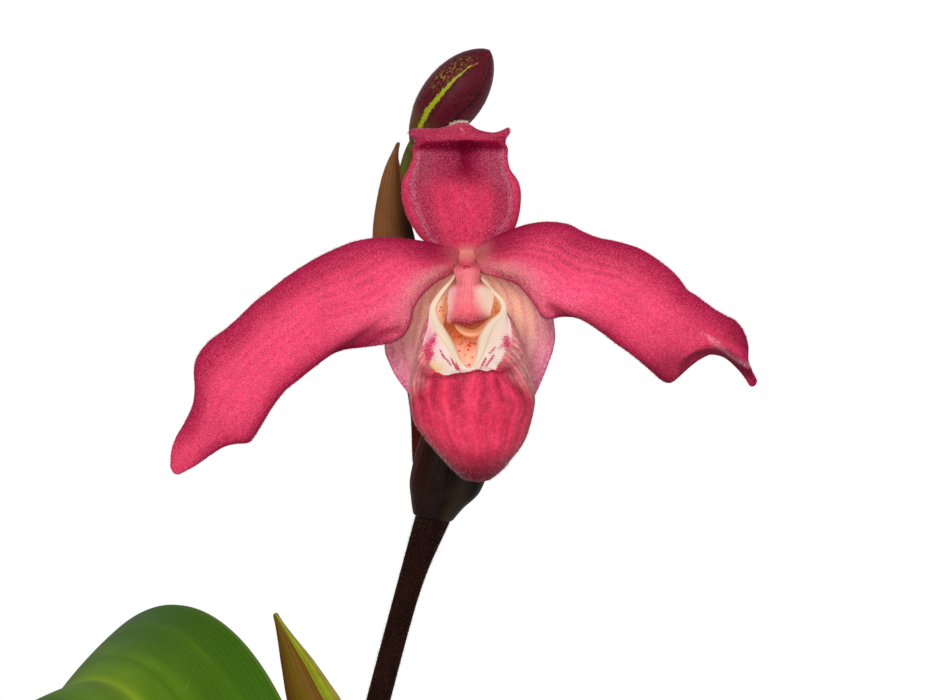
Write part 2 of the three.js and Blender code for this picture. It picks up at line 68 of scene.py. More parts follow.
# What each of the knots adds to a Catmull-Rom curve at u: with t from knot b to knot c, half of
# (-t + 2t^2 - t^3) a + (2 - 5t^2 + 3t^3) b + (t + 4t^2 - 3t^3) c + (-t^2 + t^3) d
def knotShares(u, count, closed=False):
    u = np.atleast_1d(np.asarray(u, float))
    spans = count if closed else count - 1
    x = (u % 1 if closed else np.clip(u, 0, 1)) * spans
    k = np.minimum(x.astype(int), spans - 1)
    t = x - k
    basis = 0.5 * np.stack([-t + 2 * t**2 - t**3, 2 - 5 * t**2 + 3 * t**3,
                            t + 4 * t**2 - 3 * t**3, -t**2 + t**3])
    shares = np.zeros((len(u), count + 2))
    rows = np.arange(len(u))
    for j in range(4):
        column = (k + j - 1) % count + 1 if closed else k + j
        np.add.at(shares, (rows, column), basis[j])
    if not closed:                                   # the ends run on straight
        shares[:, 1] += 2 * shares[:, 0]
        shares[:, 2] -= shares[:, 0]
        shares[:, -2] += 2 * shares[:, -1]
        shares[:, -3] -= shares[:, -1]
    return shares[:, 1:-1]


def curveAt(knots, u, closed=False):
    knots = np.asarray(knots, float)
    return knotShares(u, len(knots), closed) @ knots


# a width or an angle that runs through some values along u
def valuesAt(values, u):
    return curveAt(np.array(values, float)[:, None], u)


# a surface through a net of points, by the same curves both ways
def netSurface(net, u, v):
    net = np.asarray(net, float)
    return np.einsum("ir,rcx,jc->ijx", knotShares(u, net.shape[0]), net, knotShares(v, net.shape[1]))


# even steps from 0 to 1, drawn together towards both ends by crowd
def steps(count, crowd):
    even = np.linspace(0, 1, count + 1)
    return (1 - crowd) * even + crowd * (0.5 - 0.5 * np.cos(np.pi * even))


# how far along the net each of its points is from the net's first row (axis 0) or column (1)
def runFrom(points, axis):
    gaps = np.linalg.norm(np.diff(points, axis=axis), axis=2)
    start = np.zeros_like(gaps.take([0], axis))
    return np.concatenate([start, np.cumsum(gaps, axis=axis)], axis=axis)


def toEdge(points, axis):
    run = runFrom(points, axis)
    return np.minimum(run, run.take([-1], axis) - run)


# a net's normals; a net that wraps has its last column beside its first
def normalsOf(points, wrap=False):
    if wrap:
        across = (np.roll(points, -1, axis=1) - np.roll(points, 1, axis=1)) / 2
    else:
        across = np.gradient(points, axis=1)
    return unit(np.cross(np.gradient(points, axis=0), across))


# six times the volume within faces of three or four corners, as a sum of a . (b x c)
def volumeOf(points, faces):
    a, b, c = (points[faces[:, k]] for k in range(3))
    volume = np.einsum("ij,ij->", a, np.cross(b, c))
    if faces.shape[1] == 4:
        volume += np.einsum("ij,ij->", a, np.cross(c, points[faces[:, 3]]))
    return volume


# a closed solid as arrays, with its faces turned outwards
def solidOf(points, quads, quadFlow, tris, triFlow, marks):
    turned = 1.0 if volumeOf(points, quads) + volumeOf(points, tris) >= 0 else -1.0
    if turned < 0:
        quads, quadFlow, tris, triFlow = (x[:, ::-1] for x in (quads, quadFlow, tris, triFlow))
    return {"points": points, "quads": quads, "quadFlow": quadFlow, "tris": tris,
            "triFlow": triFlow, "marks": marks, "turned": turned}


# the four corners of each cell of a grid
def cornersOf(grid):
    picked = [grid[:-1, :-1], grid[1:, :-1], grid[1:, 1:], grid[:-1, 1:]]
    return np.stack(picked, axis=2).reshape(-1, 4, *grid.shape[2:])


# A blade: a middle surface with a skin to each side of it, half the thickness away along its
# normal. Within a rounding r of its free edge, at a distance d from it, the blade's thickness
# falls as sqrt(1 - (1 - d/r)^2), and the two skins share the edge's own points.
def bladeOf(middle, thickness, u, v, marks):
    rows, columns = middle.shape[:2]
    normals = normalsOf(middle)
    rounding = 0.75 * np.max(thickness)
    near = np.clip(np.minimum(toEdge(middle, 1), toEdge(middle, 0)) / rounding, 0, 1)
    half = 0.5 * thickness * np.sqrt(1 - (1 - near) ** 2)
    front = middle + normals * half[..., None]
    rear = middle - normals * half[..., None]
    index = np.arange(rows * columns).reshape(rows, columns)
    other = index.copy()
    inner = (rows - 2) * (columns - 2)
    other[1:-1, 1:-1] = rows * columns + np.arange(inner).reshape(rows - 2, columns - 2)
    points = np.concatenate([front.reshape(-1, 3), rear[1:-1, 1:-1].reshape(-1, 3)])
    flow = np.stack(np.broadcast_arrays(v[None, :], u[:, None]), axis=-1)
    quads = np.concatenate([cornersOf(index), cornersOf(other)[:, ::-1]])
    quadFlow = np.concatenate([cornersOf(flow), cornersOf(flow)[:, ::-1]])
    kept = {"back": np.concatenate([np.zeros(rows * columns), np.ones(inner)])}
    for name, values in marks.items():
        values = np.broadcast_to(values, (rows, columns))
        kept[name] = np.concatenate([values.ravel(), values[1:-1, 1:-1].ravel()])
    made = solidOf(points, quads, quadFlow, np.zeros((0, 3), int), np.zeros((0, 3, 2)), kept)
    made["front"], made["rear"] = front, rear
    made["frontNormals"] = normals * made["turned"]
    return made


# A shell: rings of points closed by a pole at each end, such as a tube, a pouch or a lathe form
def shellOf(rings, firstPole, lastPole, u, marks=None):
    rows, columns = rings.shape[:2]
    points = np.concatenate([[firstPole], rings.reshape(-1, 3), [lastPole]])
    index = 1 + np.arange(rows * columns).reshape(rows, columns)
    index = np.concatenate([index, index[:, :1]], axis=1)
    across = np.linspace(0, 1, columns + 1)
    flow = np.stack(np.broadcast_arrays(across[None, :], u[:, None]), axis=-1)
    low, high = slice(0, -1), slice(1, None)
    tris, triFlow = [], []
    for row, pole, left, right in ((0, 0, low, high), (-1, len(points) - 1, high, low)):
        tris.append(np.stack([np.full(columns, pole), index[row, left], index[row, right]], axis=1))
        tip = np.stack([(across[:-1] + across[1:]) / 2, np.full(columns, u[row])], axis=1)
        triFlow.append(np.stack([tip, flow[row, left], flow[row, right]], axis=1))
    kept = {}
    for name, values in (marks or {}).items():
        values = np.broadcast_to(values, (rows, columns))
        kept[name] = np.concatenate([[values[0].mean()], values.ravel(), [values[-1].mean()]])
    made = solidOf(points, cornersOf(index), cornersOf(flow), np.concatenate(tris),
                   np.concatenate(triFlow), kept)
    made["rings"] = rings
    made["ringNormals"] = normalsOf(rings, wrap=True) * made["turned"]
    return made


# Rings round a path, each with its own half width and half depth: at an angle a, the path's point
# plus width cos(a) across it and depth sin(a) forward, both times shape(a)
def ringsRound(path, width, depth, columns, front=(0, -1, 0), shape=None):
    tangent = unit(np.gradient(path, axis=0))
    across = unit(np.cross(tangent, np.asarray(front, float)))
    forward = unit(np.cross(across, tangent))
    angle = turnSteps(columns)
    swell = 1 if shape is None else shape(angle)
    x = width[:, None] * np.cos(angle) * swell
    y = depth[:, None] * np.sin(angle) * swell
    return path[:, None] + x[..., None] * across[:, None] + y[..., None] * forward[:, None]


# several solids as one; a mark that one of them lacks is 0 there
def joined(parts):
    made = {key: np.concatenate([part[key] for part in parts]) for key in ("points", "quadFlow", "triFlow")}
    counts = [len(part["points"]) for part in parts]
    offsets = np.cumsum([0] + counts)
    for key in ("quads", "tris"):
        made[key] = np.concatenate([part[key] + offset for part, offset in zip(parts, offsets)])
    made["marks"] = {}
    for name in sorted({name for part in parts for name in part["marks"]}):
        values = [part["marks"].get(name, np.zeros(count)) for part, count in zip(parts, counts)]
        made["marks"][name] = np.concatenate(values)
    return made


pieceCount = {"faces": 0}


# puts a solid's arrays into a mesh, moved by shift, hangs it on the root and hides the model's node that it
# takes the place of
def makePiece(name, part, material, node, shift=0.0):
    mesh = bpy.data.meshes.new(name)
    quads, tris = part["quads"], part["tris"]
    corners = np.concatenate([quads.ravel(), tris.ravel()]).astype(np.int32)
    starts = np.concatenate([4 * np.arange(len(quads)), 4 * len(quads) + 3 * np.arange(len(tris))])
    flow = np.concatenate([part["quadFlow"].reshape(-1, 2), part["triFlow"].reshape(-1, 2)])
    mesh.vertices.add(len(part["points"]))
    mesh.vertices.foreach_set("co", ((part["points"] + shift) * metre).astype(np.float32).ravel())
    mesh.loops.add(len(corners))
    mesh.loops.foreach_set("vertex_index", corners)
    mesh.polygons.add(len(starts))
    mesh.polygons.foreach_set("loop_start", starts.astype(np.int32))
    mesh.polygons.foreach_set("use_smooth", np.ones(len(starts), bool))
    mesh.update(calc_edges=True)
    mesh.uv_layers.new(name="flow").data.foreach_set("uv", flow.astype(np.float32).ravel())
    for markName, values in part["marks"].items():
        mark = mesh.attributes.new(markName, "FLOAT", "POINT")
        mark.data.foreach_set("value", values.astype(np.float32))
    mesh.materials.append(material)
    piece = bpy.data.objects.new(name, mesh)
    bpy.context.scene.collection.objects.link(piece)
    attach(piece, "root")
    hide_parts(node)
    triangles = 2 * len(quads) + len(tris)
    pieceCount["faces"] += triangles
    print(name, triangles, "triangles")
    return piece


# a piece of the flower, whose points are measured from the flower's middle
def makeFlowerPiece(name, part, material, node):
    makePiece(name, part, material, node, flowerMiddle)


# ---- hairs

# spots on a grid of points, as many to each cell as its area times its density asks, and the
# skin's normals there
def scatter(points, normals, count, random, density=None, wrap=False):
    if density is None:
        density = np.ones(points.shape[:2])
    if wrap:
        points, normals, density = (np.concatenate([x, x[:, :1]], axis=1) for x in (points, normals, density))
    rows, columns = points.shape[0] - 1, points.shape[1] - 1
    a, b, c, d = points[:-1, :-1], points[1:, :-1], points[1:, 1:], points[:-1, 1:]
    area = np.linalg.norm(np.cross(c - a, d - b), axis=2) / 2
    share = np.cumsum((area * (density[:-1, :-1] + density[1:, 1:]) / 2).ravel())
    cell = np.searchsorted(share, random.random(count) * share[-1])
    i, j = np.minimum(cell // columns, rows - 1), cell % columns
    s, t = random.random((2, count, 1))

    def within(grid):
        return blend(blend(grid[i, j], grid[i + 1, j], s), blend(grid[i, j + 1], grid[i + 1, j + 1], s), t)

    return within(points), unit(within(normals))


# Fur on a skin, as roots, directions and lengths: each hair points along the normal, plus
# towards, plus lean times a random direction
def furOn(points, normals, count, random, lean, lengths, density=None, wrap=False, towards=0.0):
    roots, out = scatter(points, normals, count, random, density, wrap)
    directions = out + towards + lean * unit(random.normal(size=(count, 3)))
    return roots, directions, random.uniform(*lengths, count)


# fur on both skins of a blade, with a count and a density for each
def furOnBlade(part, counts, random, lean, lengths, densities=(None, None)):
    return [furOn(part[surface], part["frontNormals"] * sign, count, random, lean, lengths, density)
            for surface, sign, count, density in zip(("front", "rear"), (1, -1), counts, densities)]


# hairs along a free edge: line holds the edge's points, inner those of a line beside it
def fringeOn(line, inner, first, count, random, lengths):
    pick = random.uniform(first, len(line) - 2, count)
    k = pick.astype(int)
    spots = blend(line[k], line[k + 1], (pick - k)[:, None])
    directions = unit(line - inner)[k] + 0.45 * unit(random.normal(size=(count, 3)))
    return spots, directions, random.uniform(*lengths, count)


# Hairs as thin three-sided spikes in one or more lengths: their middle line is
# root + L s direction + L s^2 lean, for a length L, and their radius falls as 1 - s
def hairsAt(roots, directions, lengths, radius, random, lean=0.0, pieces=1):
    count = len(roots)
    directions, lengths = unit(directions), lengths[:, None]
    helper = np.where(np.abs(directions[:, 2:3]) < 0.8, [[0.0, 0.0, 1.0]], [[1.0, 0.0, 0.0]])
    side = unit(np.cross(directions, helper))
    other = np.cross(directions, side)
    turn = random.random((count, 1)) * 2 * np.pi
    rings = []
    for k in range(pieces):
        s = k / pieces
        middle = roots + directions * lengths * s + lean * lengths * s * s
        if k == 0:
            middle = middle - directions * rootDepth
        for corner in range(3):
            angle = turn + corner * 2 * np.pi / 3
            rings.append(middle + (1 - s) * radius * (side * np.cos(angle) + other * np.sin(angle)))
    rings.append(roots + directions * lengths + lean * lengths)
    each = 3 * pieces + 1
    points = np.stack(rings, axis=1).reshape(-1, 3)
    pattern = [(0, 2, 1)]
    for k in range(pieces - 1):
        for corner in range(3):
            a, b = 3 * k + corner, 3 * k + (corner + 1) % 3
            pattern += [(a, b, b + 3), (a, b + 3, a + 3)]
    top = 3 * (pieces - 1)
    pattern += [(top + corner, top + (corner + 1) % 3, each - 1) for corner in range(3)]
    tris = ((np.arange(count) * each)[:, None, None] + np.array(pattern)[None]).reshape(-1, 3)
    marks = {"shade": np.repeat(random.random(count), each)}
    return solidOf(points, np.zeros((0, 4), int), np.zeros((0, 4, 2)), tris,
                   np.zeros((len(tris), 3, 2)), marks)


# some groups of fur as one piece of the flower
def makeFlowerHairs(name, groups, radius, material, slotName, node, random, **bend):
    roots, directions, lengths = (np.concatenate(column) for column in zip(*groups))
    part = hairsAt(roots, directions, lengths, radius, random, **bend)
    makeFlowerPiece(name, part, material, node)


# ---- materials

def tone(hexCode):
    channels = np.array([int(hexCode[i:i + 2], 16) / 255 for i in (0, 2, 4)])
    linear = np.where(channels <= 0.04045, channels / 12.92, ((channels + 0.055) / 1.055) ** 2.4)
    return (*linear.tolist(), 1.0)


# a socket gets a link from a signal, the colour of a hex code, or the value itself
def plug(socket, value):
    if isinstance(value, Signal):
        socket.id_data.links.new(value.socket, socket)
    else:
        socket.default_value = tone(value) if isinstance(value, str) else value


def addNode(tree, kind, inputs=None, output=0, **settings):
    made = tree.nodes.new("ShaderNode" + kind)
    for key, value in settings.items():
        setattr(made, key, value)
    for key, value in (inputs or {}).items():
        plug(made.inputs[key], value)
    return Signal(made.outputs[output])


# What comes out of a node. Times, plus and minus make Math nodes that work on it.
class Signal:
    def __init__(self, socket):
        self.socket = socket
        self.tree = socket.id_data

    def reckon(self, operation, other=0.0, clamp=False):
        return addNode(self.tree, "Math", {0: self, 1: other}, operation=operation, use_clamp=clamp)

    def __mul__(self, other):
        return self.reckon("MULTIPLY", other)

    def __add__(self, other):
        return self.reckon("ADD", other)

    def __sub__(self, other):
        return self.reckon("SUBTRACT", other)

    def span(self, low, high, start=0.0, end=1.0):   # low to high, turned smoothly to start to end
        return addNode(self.tree, "MapRange", {
            "Value": self, "From Min": low, "From Max": high, "To Min": start, "To Max": end},
            interpolation_type="SMOOTHSTEP")

    def parts(self):                                 # a vector's first two parts
        outputs = addNode(self.tree, "SeparateXYZ", {0: self}).socket.node.outputs
        return Signal(outputs[0]), Signal(outputs[1])

    def ramp(self, stops):                           # colours at their places from 0 to 1
        made = addNode(self.tree, "ValToRGB", {0: self})
        elements = made.socket.node.color_ramp.elements
        while len(elements) < len(stops):
            elements.new(0.5)
        for element, (place, code) in zip(elements, stops):
            element.position = place
            element.color = tone(code)
        return made


# a node group with one mask coming out of it, and its inputs as signals
def newGroup(name, inputs):
    tree = bpy.data.node_groups.new(name, "ShaderNodeTree")
    for label, value in inputs.items():
        kind = "NodeSocketVector" if value is None else "NodeSocketFloat"
        socket = tree.interface.new_socket(name=label, in_out="INPUT", socket_type=kind)
        if value is not None:
            socket.default_value = value
    tree.interface.new_socket(name="Mask", in_out="OUTPUT", socket_type="NodeSocketFloat")
    source = tree.nodes.new("NodeGroupInput").outputs
    sink = tree.nodes.new("NodeGroupOutput").inputs["Mask"]
    return tree, {label: Signal(source[label]) for label in inputs}, sink


# Lengthwise veins: lines of equal v, |sin(pi n v)| thinned by a power, that wander with a noise
# stretched along the blade
def makeVeins():
    tree, source, sink = newGroup("veins", {
        "Flow": None, "Count": 16.0, "Wander": 0.4, "Sharpness": 4.0, "Seed": 0.0})
    across, along = source["Flow"].parts()
    stretched = addNode(tree, "CombineXYZ", {0: across * 6.0, 1: along * 5.0, 2: source["Seed"]})
    noise = addNode(tree, "TexNoise", {"Vector": stretched, "Scale": 1.0, "Detail": 3.0})
    wander = (noise - 0.5) * source["Wander"]
    phase = (across * source["Count"] + wander) * np.pi
    plug(sink, phase.reckon("SINE").reckon("ABSOLUTE").reckon("POWER", source["Sharpness"]))
    return tree


# Mottling: noise at a size in millimetres, turned to a mask between two of its values
def makeMottle():
    tree, source, sink = newGroup("mottle", {
        "Size": 1.0, "Low": 0.4, "High": 0.6, "Detail": 2.0, "Seed": 0.0})
    scale = addNode(tree, "Math", {0: 1 / metre, 1: source["Size"]}, operation="DIVIDE")
    offset = addNode(tree, "CombineXYZ", {0: source["Seed"]})
    place = addNode(tree, "TexCoord", output="Object")
    moved = addNode(tree, "VectorMath", {0: place, 1: offset}, operation="ADD")
    noise = addNode(tree, "TexNoise", {"Vector": moved, "Scale": scale, "Detail": source["Detail"]})
    plug(sink, noise.span(source["Low"], source["High"]))
    return tree


veinsGroup = makeVeins()
mottleGroup = makeMottle()


# A material being made: its shader, and the colour so far, which coats are laid over. A mask is a
# signal or the name of a mark.
class Skin:
    def __init__(self, name, **sockets):
        self.material = bpy.data.materials.new(name)
        self.material.use_nodes = True
        self.tree = self.material.node_tree
        self.put(**sockets)

    def put(self, **sockets):
        for label, value in sockets.items():
            plug(self.tree.nodes["Principled BSDF"].inputs[label.replace("_", " ")], value)

    def mark(self, name):
        return addNode(self.tree, "Attribute", output="Fac", attribute_name=name)

    def flow(self):
        return addNode(self.tree, "UVMap", output="UV", uv_map="flow")

    def place(self):
        return addNode(self.tree, "TexCoord", output="Object")

    def veins(self, count, wander, sharpness, seed):
        return addNode(self.tree, "Group", {
            "Flow": self.flow(), "Count": count, "Wander": wander, "Sharpness": sharpness,
            "Seed": seed}, "Mask", node_tree=veinsGroup)

    # low and high are the values of the noise that the mask runs between
    def mottle(self, size, low, high, detail, seed):
        return addNode(self.tree, "Group", {
            "Size": size, "Low": low, "High": high, "Detail": detail, "Seed": seed},
            "Mask", node_tree=mottleGroup)

    def mix(self, mask, below, above):
        mask = self.mark(mask) if isinstance(mask, str) else mask
        return addNode(self.tree, "Mix", {0: mask, 6: below, 7: above}, 2, data_type="RGBA")

    def over(self, mask, coat):
        self.colour = self.mix(mask, self.colour, coat)

    # the colour and a relief, its depth in millimetres, go into the shader
    def finished(self, height, depth, strength):
        relief = addNode(self.tree, "Bump", {
            "Height": height, "Distance": depth * metre, "Strength": strength})
        self.put(Base_Color=self.colour, Normal=relief)
        return self.material


# Velvety rose tissue of the petals and the dorsal sepal. The marks drive it: edge is the
# distance from the free edge in millimetres, glow the bright middle, streak the darker streaks,
# throat the pale foot, shade the painted shade of folds and hollows, and the whitish mark the
# bloom of the hairs with a painted sheen along ridges and a painted glint.
def makePetalMaterial(name, seed, crumple=0.0):
    skin = Skin(name, Roughness=0.6, Specular_IOR_Level=0.03)
    broad = skin.mottle(9, 0.3, 0.7, 3, seed)
    fine = skin.mottle(0.48, 0.34, 0.66, 4, seed + 0.4)
    grain = skin.mottle(0.21, 0.36, 0.7, 3, seed + 0.9)
    skin.colour = skin.mix(broad, "dc2852", "c21a42")
    skin.over(skin.mark("glow") * broad.span(0, 1, 1, 0.75), "ff4674")
    skin.over(skin.mottle(1.1, 0.42, 0.6, 4, seed + 0.2) * crumple, "ac1038")
    wide = skin.veins(9, 1.2, 1.2, seed) * 0.62
    thin = skin.veins(23, 1.1, 1.8, seed + 3) * 0.42
    patchy = skin.mottle(7, 0.3, 0.7, 2, seed + 0.6).span(0, 1, 0.5, 1)
    streaks = wide.reckon("MAXIMUM", thin) * (skin.mark("streak") * patchy)
    skin.over(streaks, "a00c36")
    skin.over("throat", "dc8c7e")
    skin.over(fine * 0.28, "940430")
    skin.over(grain * 0.3, "ff80a0")
    edge = skin.mark("edge").span(0.1, 5.2, 1, 0)
    skin.over(edge * 0.92, skin.mix(grain, "8a0430", "ba1a4e"))
    # painted shade over the folds, the hollows and the turned margins
    skin.over("shade", "640022")
    # the hairs' pale bloom, with a painted sheen along ridges and a painted glint
    skin.over(skin.mark("lilac") * grain.span(0, 1, 0.15, 1), "e6a4bc")
    return skin.finished(grain * 0.5 + streaks * -1.5, 0.07, 0.7)


def makeHairMaterial(name, light, dark):
    skin = Skin(name, Roughness=0.5, Specular_IOR_Level=0.12)
    skin.put(Base_Color=skin.mix("shade", light, dark))
    return skin.material


def makeSynsepalMaterial():
    skin = Skin("synsepalTissue", Roughness=0.6, Specular_IOR_Level=0.05, Emission_Strength=0.3)
    across, along = skin.flow().parts()
    edge = skin.mark("edge")
    veins = skin.veins(15, 1.1, 4, 5)
    grain = skin.mottle(0.4, 0.42, 0.66, 2, 7)
    skin.colour = along.ramp([(0, "e6ab7c"), (0.3, "efb695"), (0.46, "eaa6a4"), (0.75, "e08aa0"),
                              (1, "cc5a80")])
    skin.over(edge.span(0, 5.6, 0.8, 0), "de6d94")
    skin.over(veins * 0.42, "cf4f74")
    skin.over(edge.span(0.05, 0.5, 0.7, 0), "b83468")
    skin.over(grain * 0.35, "f6d3dc")
    # painted light: where the tissue lies in shade it glows by emission in its own colour,
    # standing in for light through the thin tissue
    lowSide = along.span(0.4, 0.55, 0.7, 0) * across.span(0.3, 0.7, 1, 0)
    paintedGlow = along.span(0.18, 0.38, 1, 0).reckon("MAXIMUM", lowSide)
    skin.put(Emission_Color=skin.mix(paintedGlow, "000000", skin.colour))
    return skin.finished(grain - veins, 0.08, 0.6)


# The lip's tissue: crimson outside with paler streaks, ivory side lobes with wine-red blotches,
# and an orange inside with red spots
def makePouchMaterial():
    skin = Skin("lipTissue", Roughness=0.45, Specular_IOR_Level=0.08, Emission_Strength=0.3)
    grain = skin.mottle(0.21, 0.38, 0.68, 3, 12)
    thin = skin.veins(43, 3.4, 2, 3)
    patches = skin.mottle(1.3, 0.3, 0.7, 3, 16).span(0, 1, 0.5, 0.95)
    speckle = thin.span(0, 1, 1, 0.6) * skin.mottle(0.9, 0.35, 0.65, 4, 17).span(0, 1, 1, 0.55)
    skin.colour = skin.mix(skin.mottle(3.2, 0.3, 0.7, 3, 11), "ff4468", "e82c52")
    skin.over(skin.veins(17, 2.6, 1.3, 2) * skin.mark("streak") * patches, "98062a")
    skin.over(thin * 0.18, "920828")
    skin.over(skin.mark("pale") * speckle, "f8c0b4")
    skin.over(skin.mottle(0.62, 0.36, 0.64, 3, 13) * 0.28, "98082c")
    skin.over(grain * 0.2, "ff7c98")
    skin.over("deep", skin.mix(grain, "5c0418", "8c1434"))
    outer = skin.colour
    grains = skin.mottle(0.3, 0.36, 0.64, 3, 14)
    blotch = (skin.mark("blotch") + grains * 0.42).span(0.5, 1.2)
    skin.colour = skin.mix("warm", "f4e2de", "eec886")
    skin.over(skin.mark("blush") * 0.8, "ea98b4")
    skin.over(blotch * 0.95, "cc1c54")
    lobe = skin.colour
    spots = addNode(skin.tree, "TexVoronoi", {
        "Vector": skin.place(), "Scale": 1350, "Randomness": 1}, "Distance")
    skin.colour = skin.mix(skin.mottle(2.5, 0.3, 0.7, 2, 15), "f2b494", "f6ccb2")
    skin.over(spots.span(0.24, 0.42, 1, 0) * 0.85, "cc3040")
    # painted shade: the inside turns brown towards its top, under the stigma
    skin.over("depth", "a8581e")
    inside = skin.colour
    among = skin.mark("lobe") + grains.span(0, 1, -0.14, 0.14)
    skin.colour = skin.mix(among.span(0.3, 0.7), outer, lobe)
    skin.over("inside", inside)
    skin.over("band", "ecd6bb")
    # painted light: the inside, short of the band, glows by emission in its own colour, standing in
    # for light through the thin tissue
    within = skin.mark("inside").reckon("SUBTRACT", skin.mark("band"), clamp=True)
    skin.put(Emission_Color=skin.mix(within, "000000", inside))
    crease = thin * (skin.mark("lobe") - 1)
    return skin.finished(grain * 0.5 + crease, 0.08, 0.6)


def makeColumnMaterial():
    skin = Skin("columnTissue", Roughness=0.45, Specular_IOR_Level=0.15, Coat_Roughness=0.06)
    broad = skin.mottle(1.6, 0.35, 0.65, 3, 21)
    grain = skin.mottle(0.21, 0.42, 0.68, 3, 22)
    skin.colour = skin.mix(broad, "ee6c7c", "f48088")
    skin.over("rose", "e8505e")
    skin.over(skin.veins(13, 2.2, 2.5, 4) * skin.mark("streak") * 0.32, "cc3456")
    skin.over("cream", "f0d4ba")
    skin.over("pale", "f0cac4")
    skin.over(skin.mark("dark") * grain.span(0, 1, 1, 0.45), "8c1c38")
    skin.over("orange", "c47a3c")
    skin.over("lip", "f0cc92")
    skin.over("throat", "e0847c")
    skin.over(grain * 0.16, "fbdcd8")
    skin.over("wine", skin.mix(broad, "a20a2c", "cc3050"))
    skin.put(Coat_Weight=skin.mark("wine"))
    return skin.finished(grain, 0.05, 0.5)


def makeLeafMaterial():
    skin = Skin("leafBlade", Specular_IOR_Level=0.12)
    broad = skin.mottle(34, 0.3, 0.7, 3, 31)
    bands = skin.veins(6, 3, 1.2, 1)
    veins = skin.veins(46, 0.6, 8, 2)
    skin.colour = skin.mix(broad, "4a7008", "5f8618")
    skin.over(skin.mark("outer").span(0.2, 0.9, 0, 0.75), "2f5a00")
    skin.over(bands * 0.42, "2c5402")
    skin.over(veins * 0.06, "7a9a3a")
    skin.over("rib", "88a21a")
    skin.over(skin.mark("edge").span(0.1, 0.9, 0.45, 0), "7f9a3c")
    skin.over(skin.mark("back") * 0.45, "6f9040")
    along = skin.flow().parts()[1]
    skin.over(along.span(0, 0.14, 0.5, 0), "a5ad62")
    skin.over(skin.mottle(1.6, 0.66, 0.78, 4, 33) * 0.2, "a9b878")
    skin.put(Roughness=broad.span(0, 1, 0.36, 0.5))
    return skin.finished(bands * -1 + veins * 0.14, 0.16, 0.6)


def makeStemMaterial(name, dark, light):
    skin = Skin(name, Roughness=0.6, Specular_IOR_Level=0.02, Sheen_Weight=0.12,
                Sheen_Roughness=0.15, Sheen_Tint="d8b490")
    grain = skin.mottle(0.3, 0.45, 0.68, 2, 42)
    streaks = skin.veins(18, 0.5, 3, 6)
    skin.colour = skin.mix(skin.mottle(6, 0.3, 0.7, 3, 41), dark, light)
    skin.over(streaks * 0.3, light)
    skin.over(grain * 0.08, "4a382b")
    return skin.finished(grain + streaks, 0.05, 0.5)


# bract skins: from one colour at the left edge to another at the right, darker at the rim
def makeBractMaterial(name, stops, veinTone, veinShare, roughness, rimTone, coat, seed, footShadeTone=None):
    skin = Skin(name, Roughness=roughness, Specular_IOR_Level=0.05, Coat_Weight=coat, Coat_Roughness=0.3)
    across, along = skin.flow().parts()
    veins = skin.veins(19, 0.7, 4, seed)
    skin.colour = across.ramp(stops)
    skin.over(skin.mottle(3, 0.35, 0.7, 4, seed) * 0.3, veinTone)
    skin.over(veins * veinShare, veinTone)
    # painted shadow over the right side of the foot
    if footShadeTone:
        skin.over(along.span(0.68, 0.42) * across.span(0.55, 0.95), footShadeTone)
    skin.over(skin.mark("edge").span(0.05, 0.7, 0.7, 0), rimTone)
    return skin.finished(skin.mottle(0.45, 0.45, 0.68, 2, seed + 1) * 0.5 + veins, 0.08, 0.5)


def makeBudMaterial():
    skin = Skin("budSkin", Roughness=0.45, Specular_IOR_Level=0.1, Coat_Roughness=0.16,
                Sheen_Weight=0.3, Sheen_Roughness=0.3)
    broad = skin.mottle(3, 0.3, 0.7, 4, 61)
    grain = skin.mottle(0.3, 0.42, 0.7, 3, 63)
    flecks = skin.mottle(0.5, 0.5, 0.6, 5, 62)
    skin.colour = skin.mix(broad, "3c060f", "540e1c")
    skin.over(grain * 0.3, "8a2a3c")
    skin.over(flecks * skin.mark("fleck"), "a09a2c")
    skin.over(skin.mark("base") * 0.8, "5a3c12")
    skin.over(skin.mark("stalk") * 0.9, skin.mix(broad, "54601c", "4a2418"))
    ragged = skin.mark("seam") + flecks * 0.3
    skin.over(ragged.span(0.5, 0.8), "93a010")
    skin.over("groove", "1c040a")
    skin.put(Coat_Weight=skin.mark("base") * 0.12)
    return skin.finished(broad + grain, 0.05, 0.5)


def makeClayMaterial():
    skin = Skin("terracotta", Roughness=0.9, Specular_IOR_Level=0.25)
    grit = skin.mottle(0.9, 0.6, 0.72, 3, 73)
    skin.colour = skin.mix(skin.mottle(42, 0.3, 0.7, 4, 71), "b5643f", "c4774f")
    skin.over(skin.mottle(17, 0.52, 0.74, 6, 72) * 0.24, "dcb79d")
    skin.over(grit * 0.4, "8a4429")
    skin.over(skin.mark("height").span(0, 26, 0.45, 0), "7d3f28")
    turned = addNode(skin.tree, "TexWave", {
        "Vector": skin.place(), "Scale": 180, "Distortion": 3, "Detail": 2, "Detail Scale": 1.5},
        "Fac", wave_type="BANDS", bands_direction="Z")
    return skin.finished(turned * 0.6 + grit * -1, 0.16, 0.5)


def makeBarkMaterial():
    skin = Skin("barkChips", Roughness=0.9, Specular_IOR_Level=0.12)
    grain = addNode(skin.tree, "TexNoise", {
        "Vector": skin.place(), "Scale": 420, "Detail": 6, "Roughness": 0.65})
    skin.colour = skin.mark("tint").ramp([(0, "2e1c12"), (0.35, "4a2f1e"), (0.7, "6e4a30"), (1, "8d6a48")])
    skin.over(grain.span(0.35, 0.65), "2a1a11")
    skin.over(skin.mottle(1.4, 0.58, 0.7, 4, 81) * 0.4, "9a7d5c")
    return skin.finished(grain, 0.7, 0.8)


def makeRootMaterial():
    skin = Skin("rootVelamen", Roughness=0.75, Sheen_Weight=0.3, Sheen_Roughness=0.4)
    skin.colour = skin.mix(skin.mottle(3, 0.3, 0.7, 4, 91), "8b7f55", "a89c72")
    skin.over("tip", "8fa04a")
    skin.over("husk", "7c6238")
    return skin.finished(skin.mottle(0.5, 0.35, 0.7, 3, 92), 0.15, 0.7)


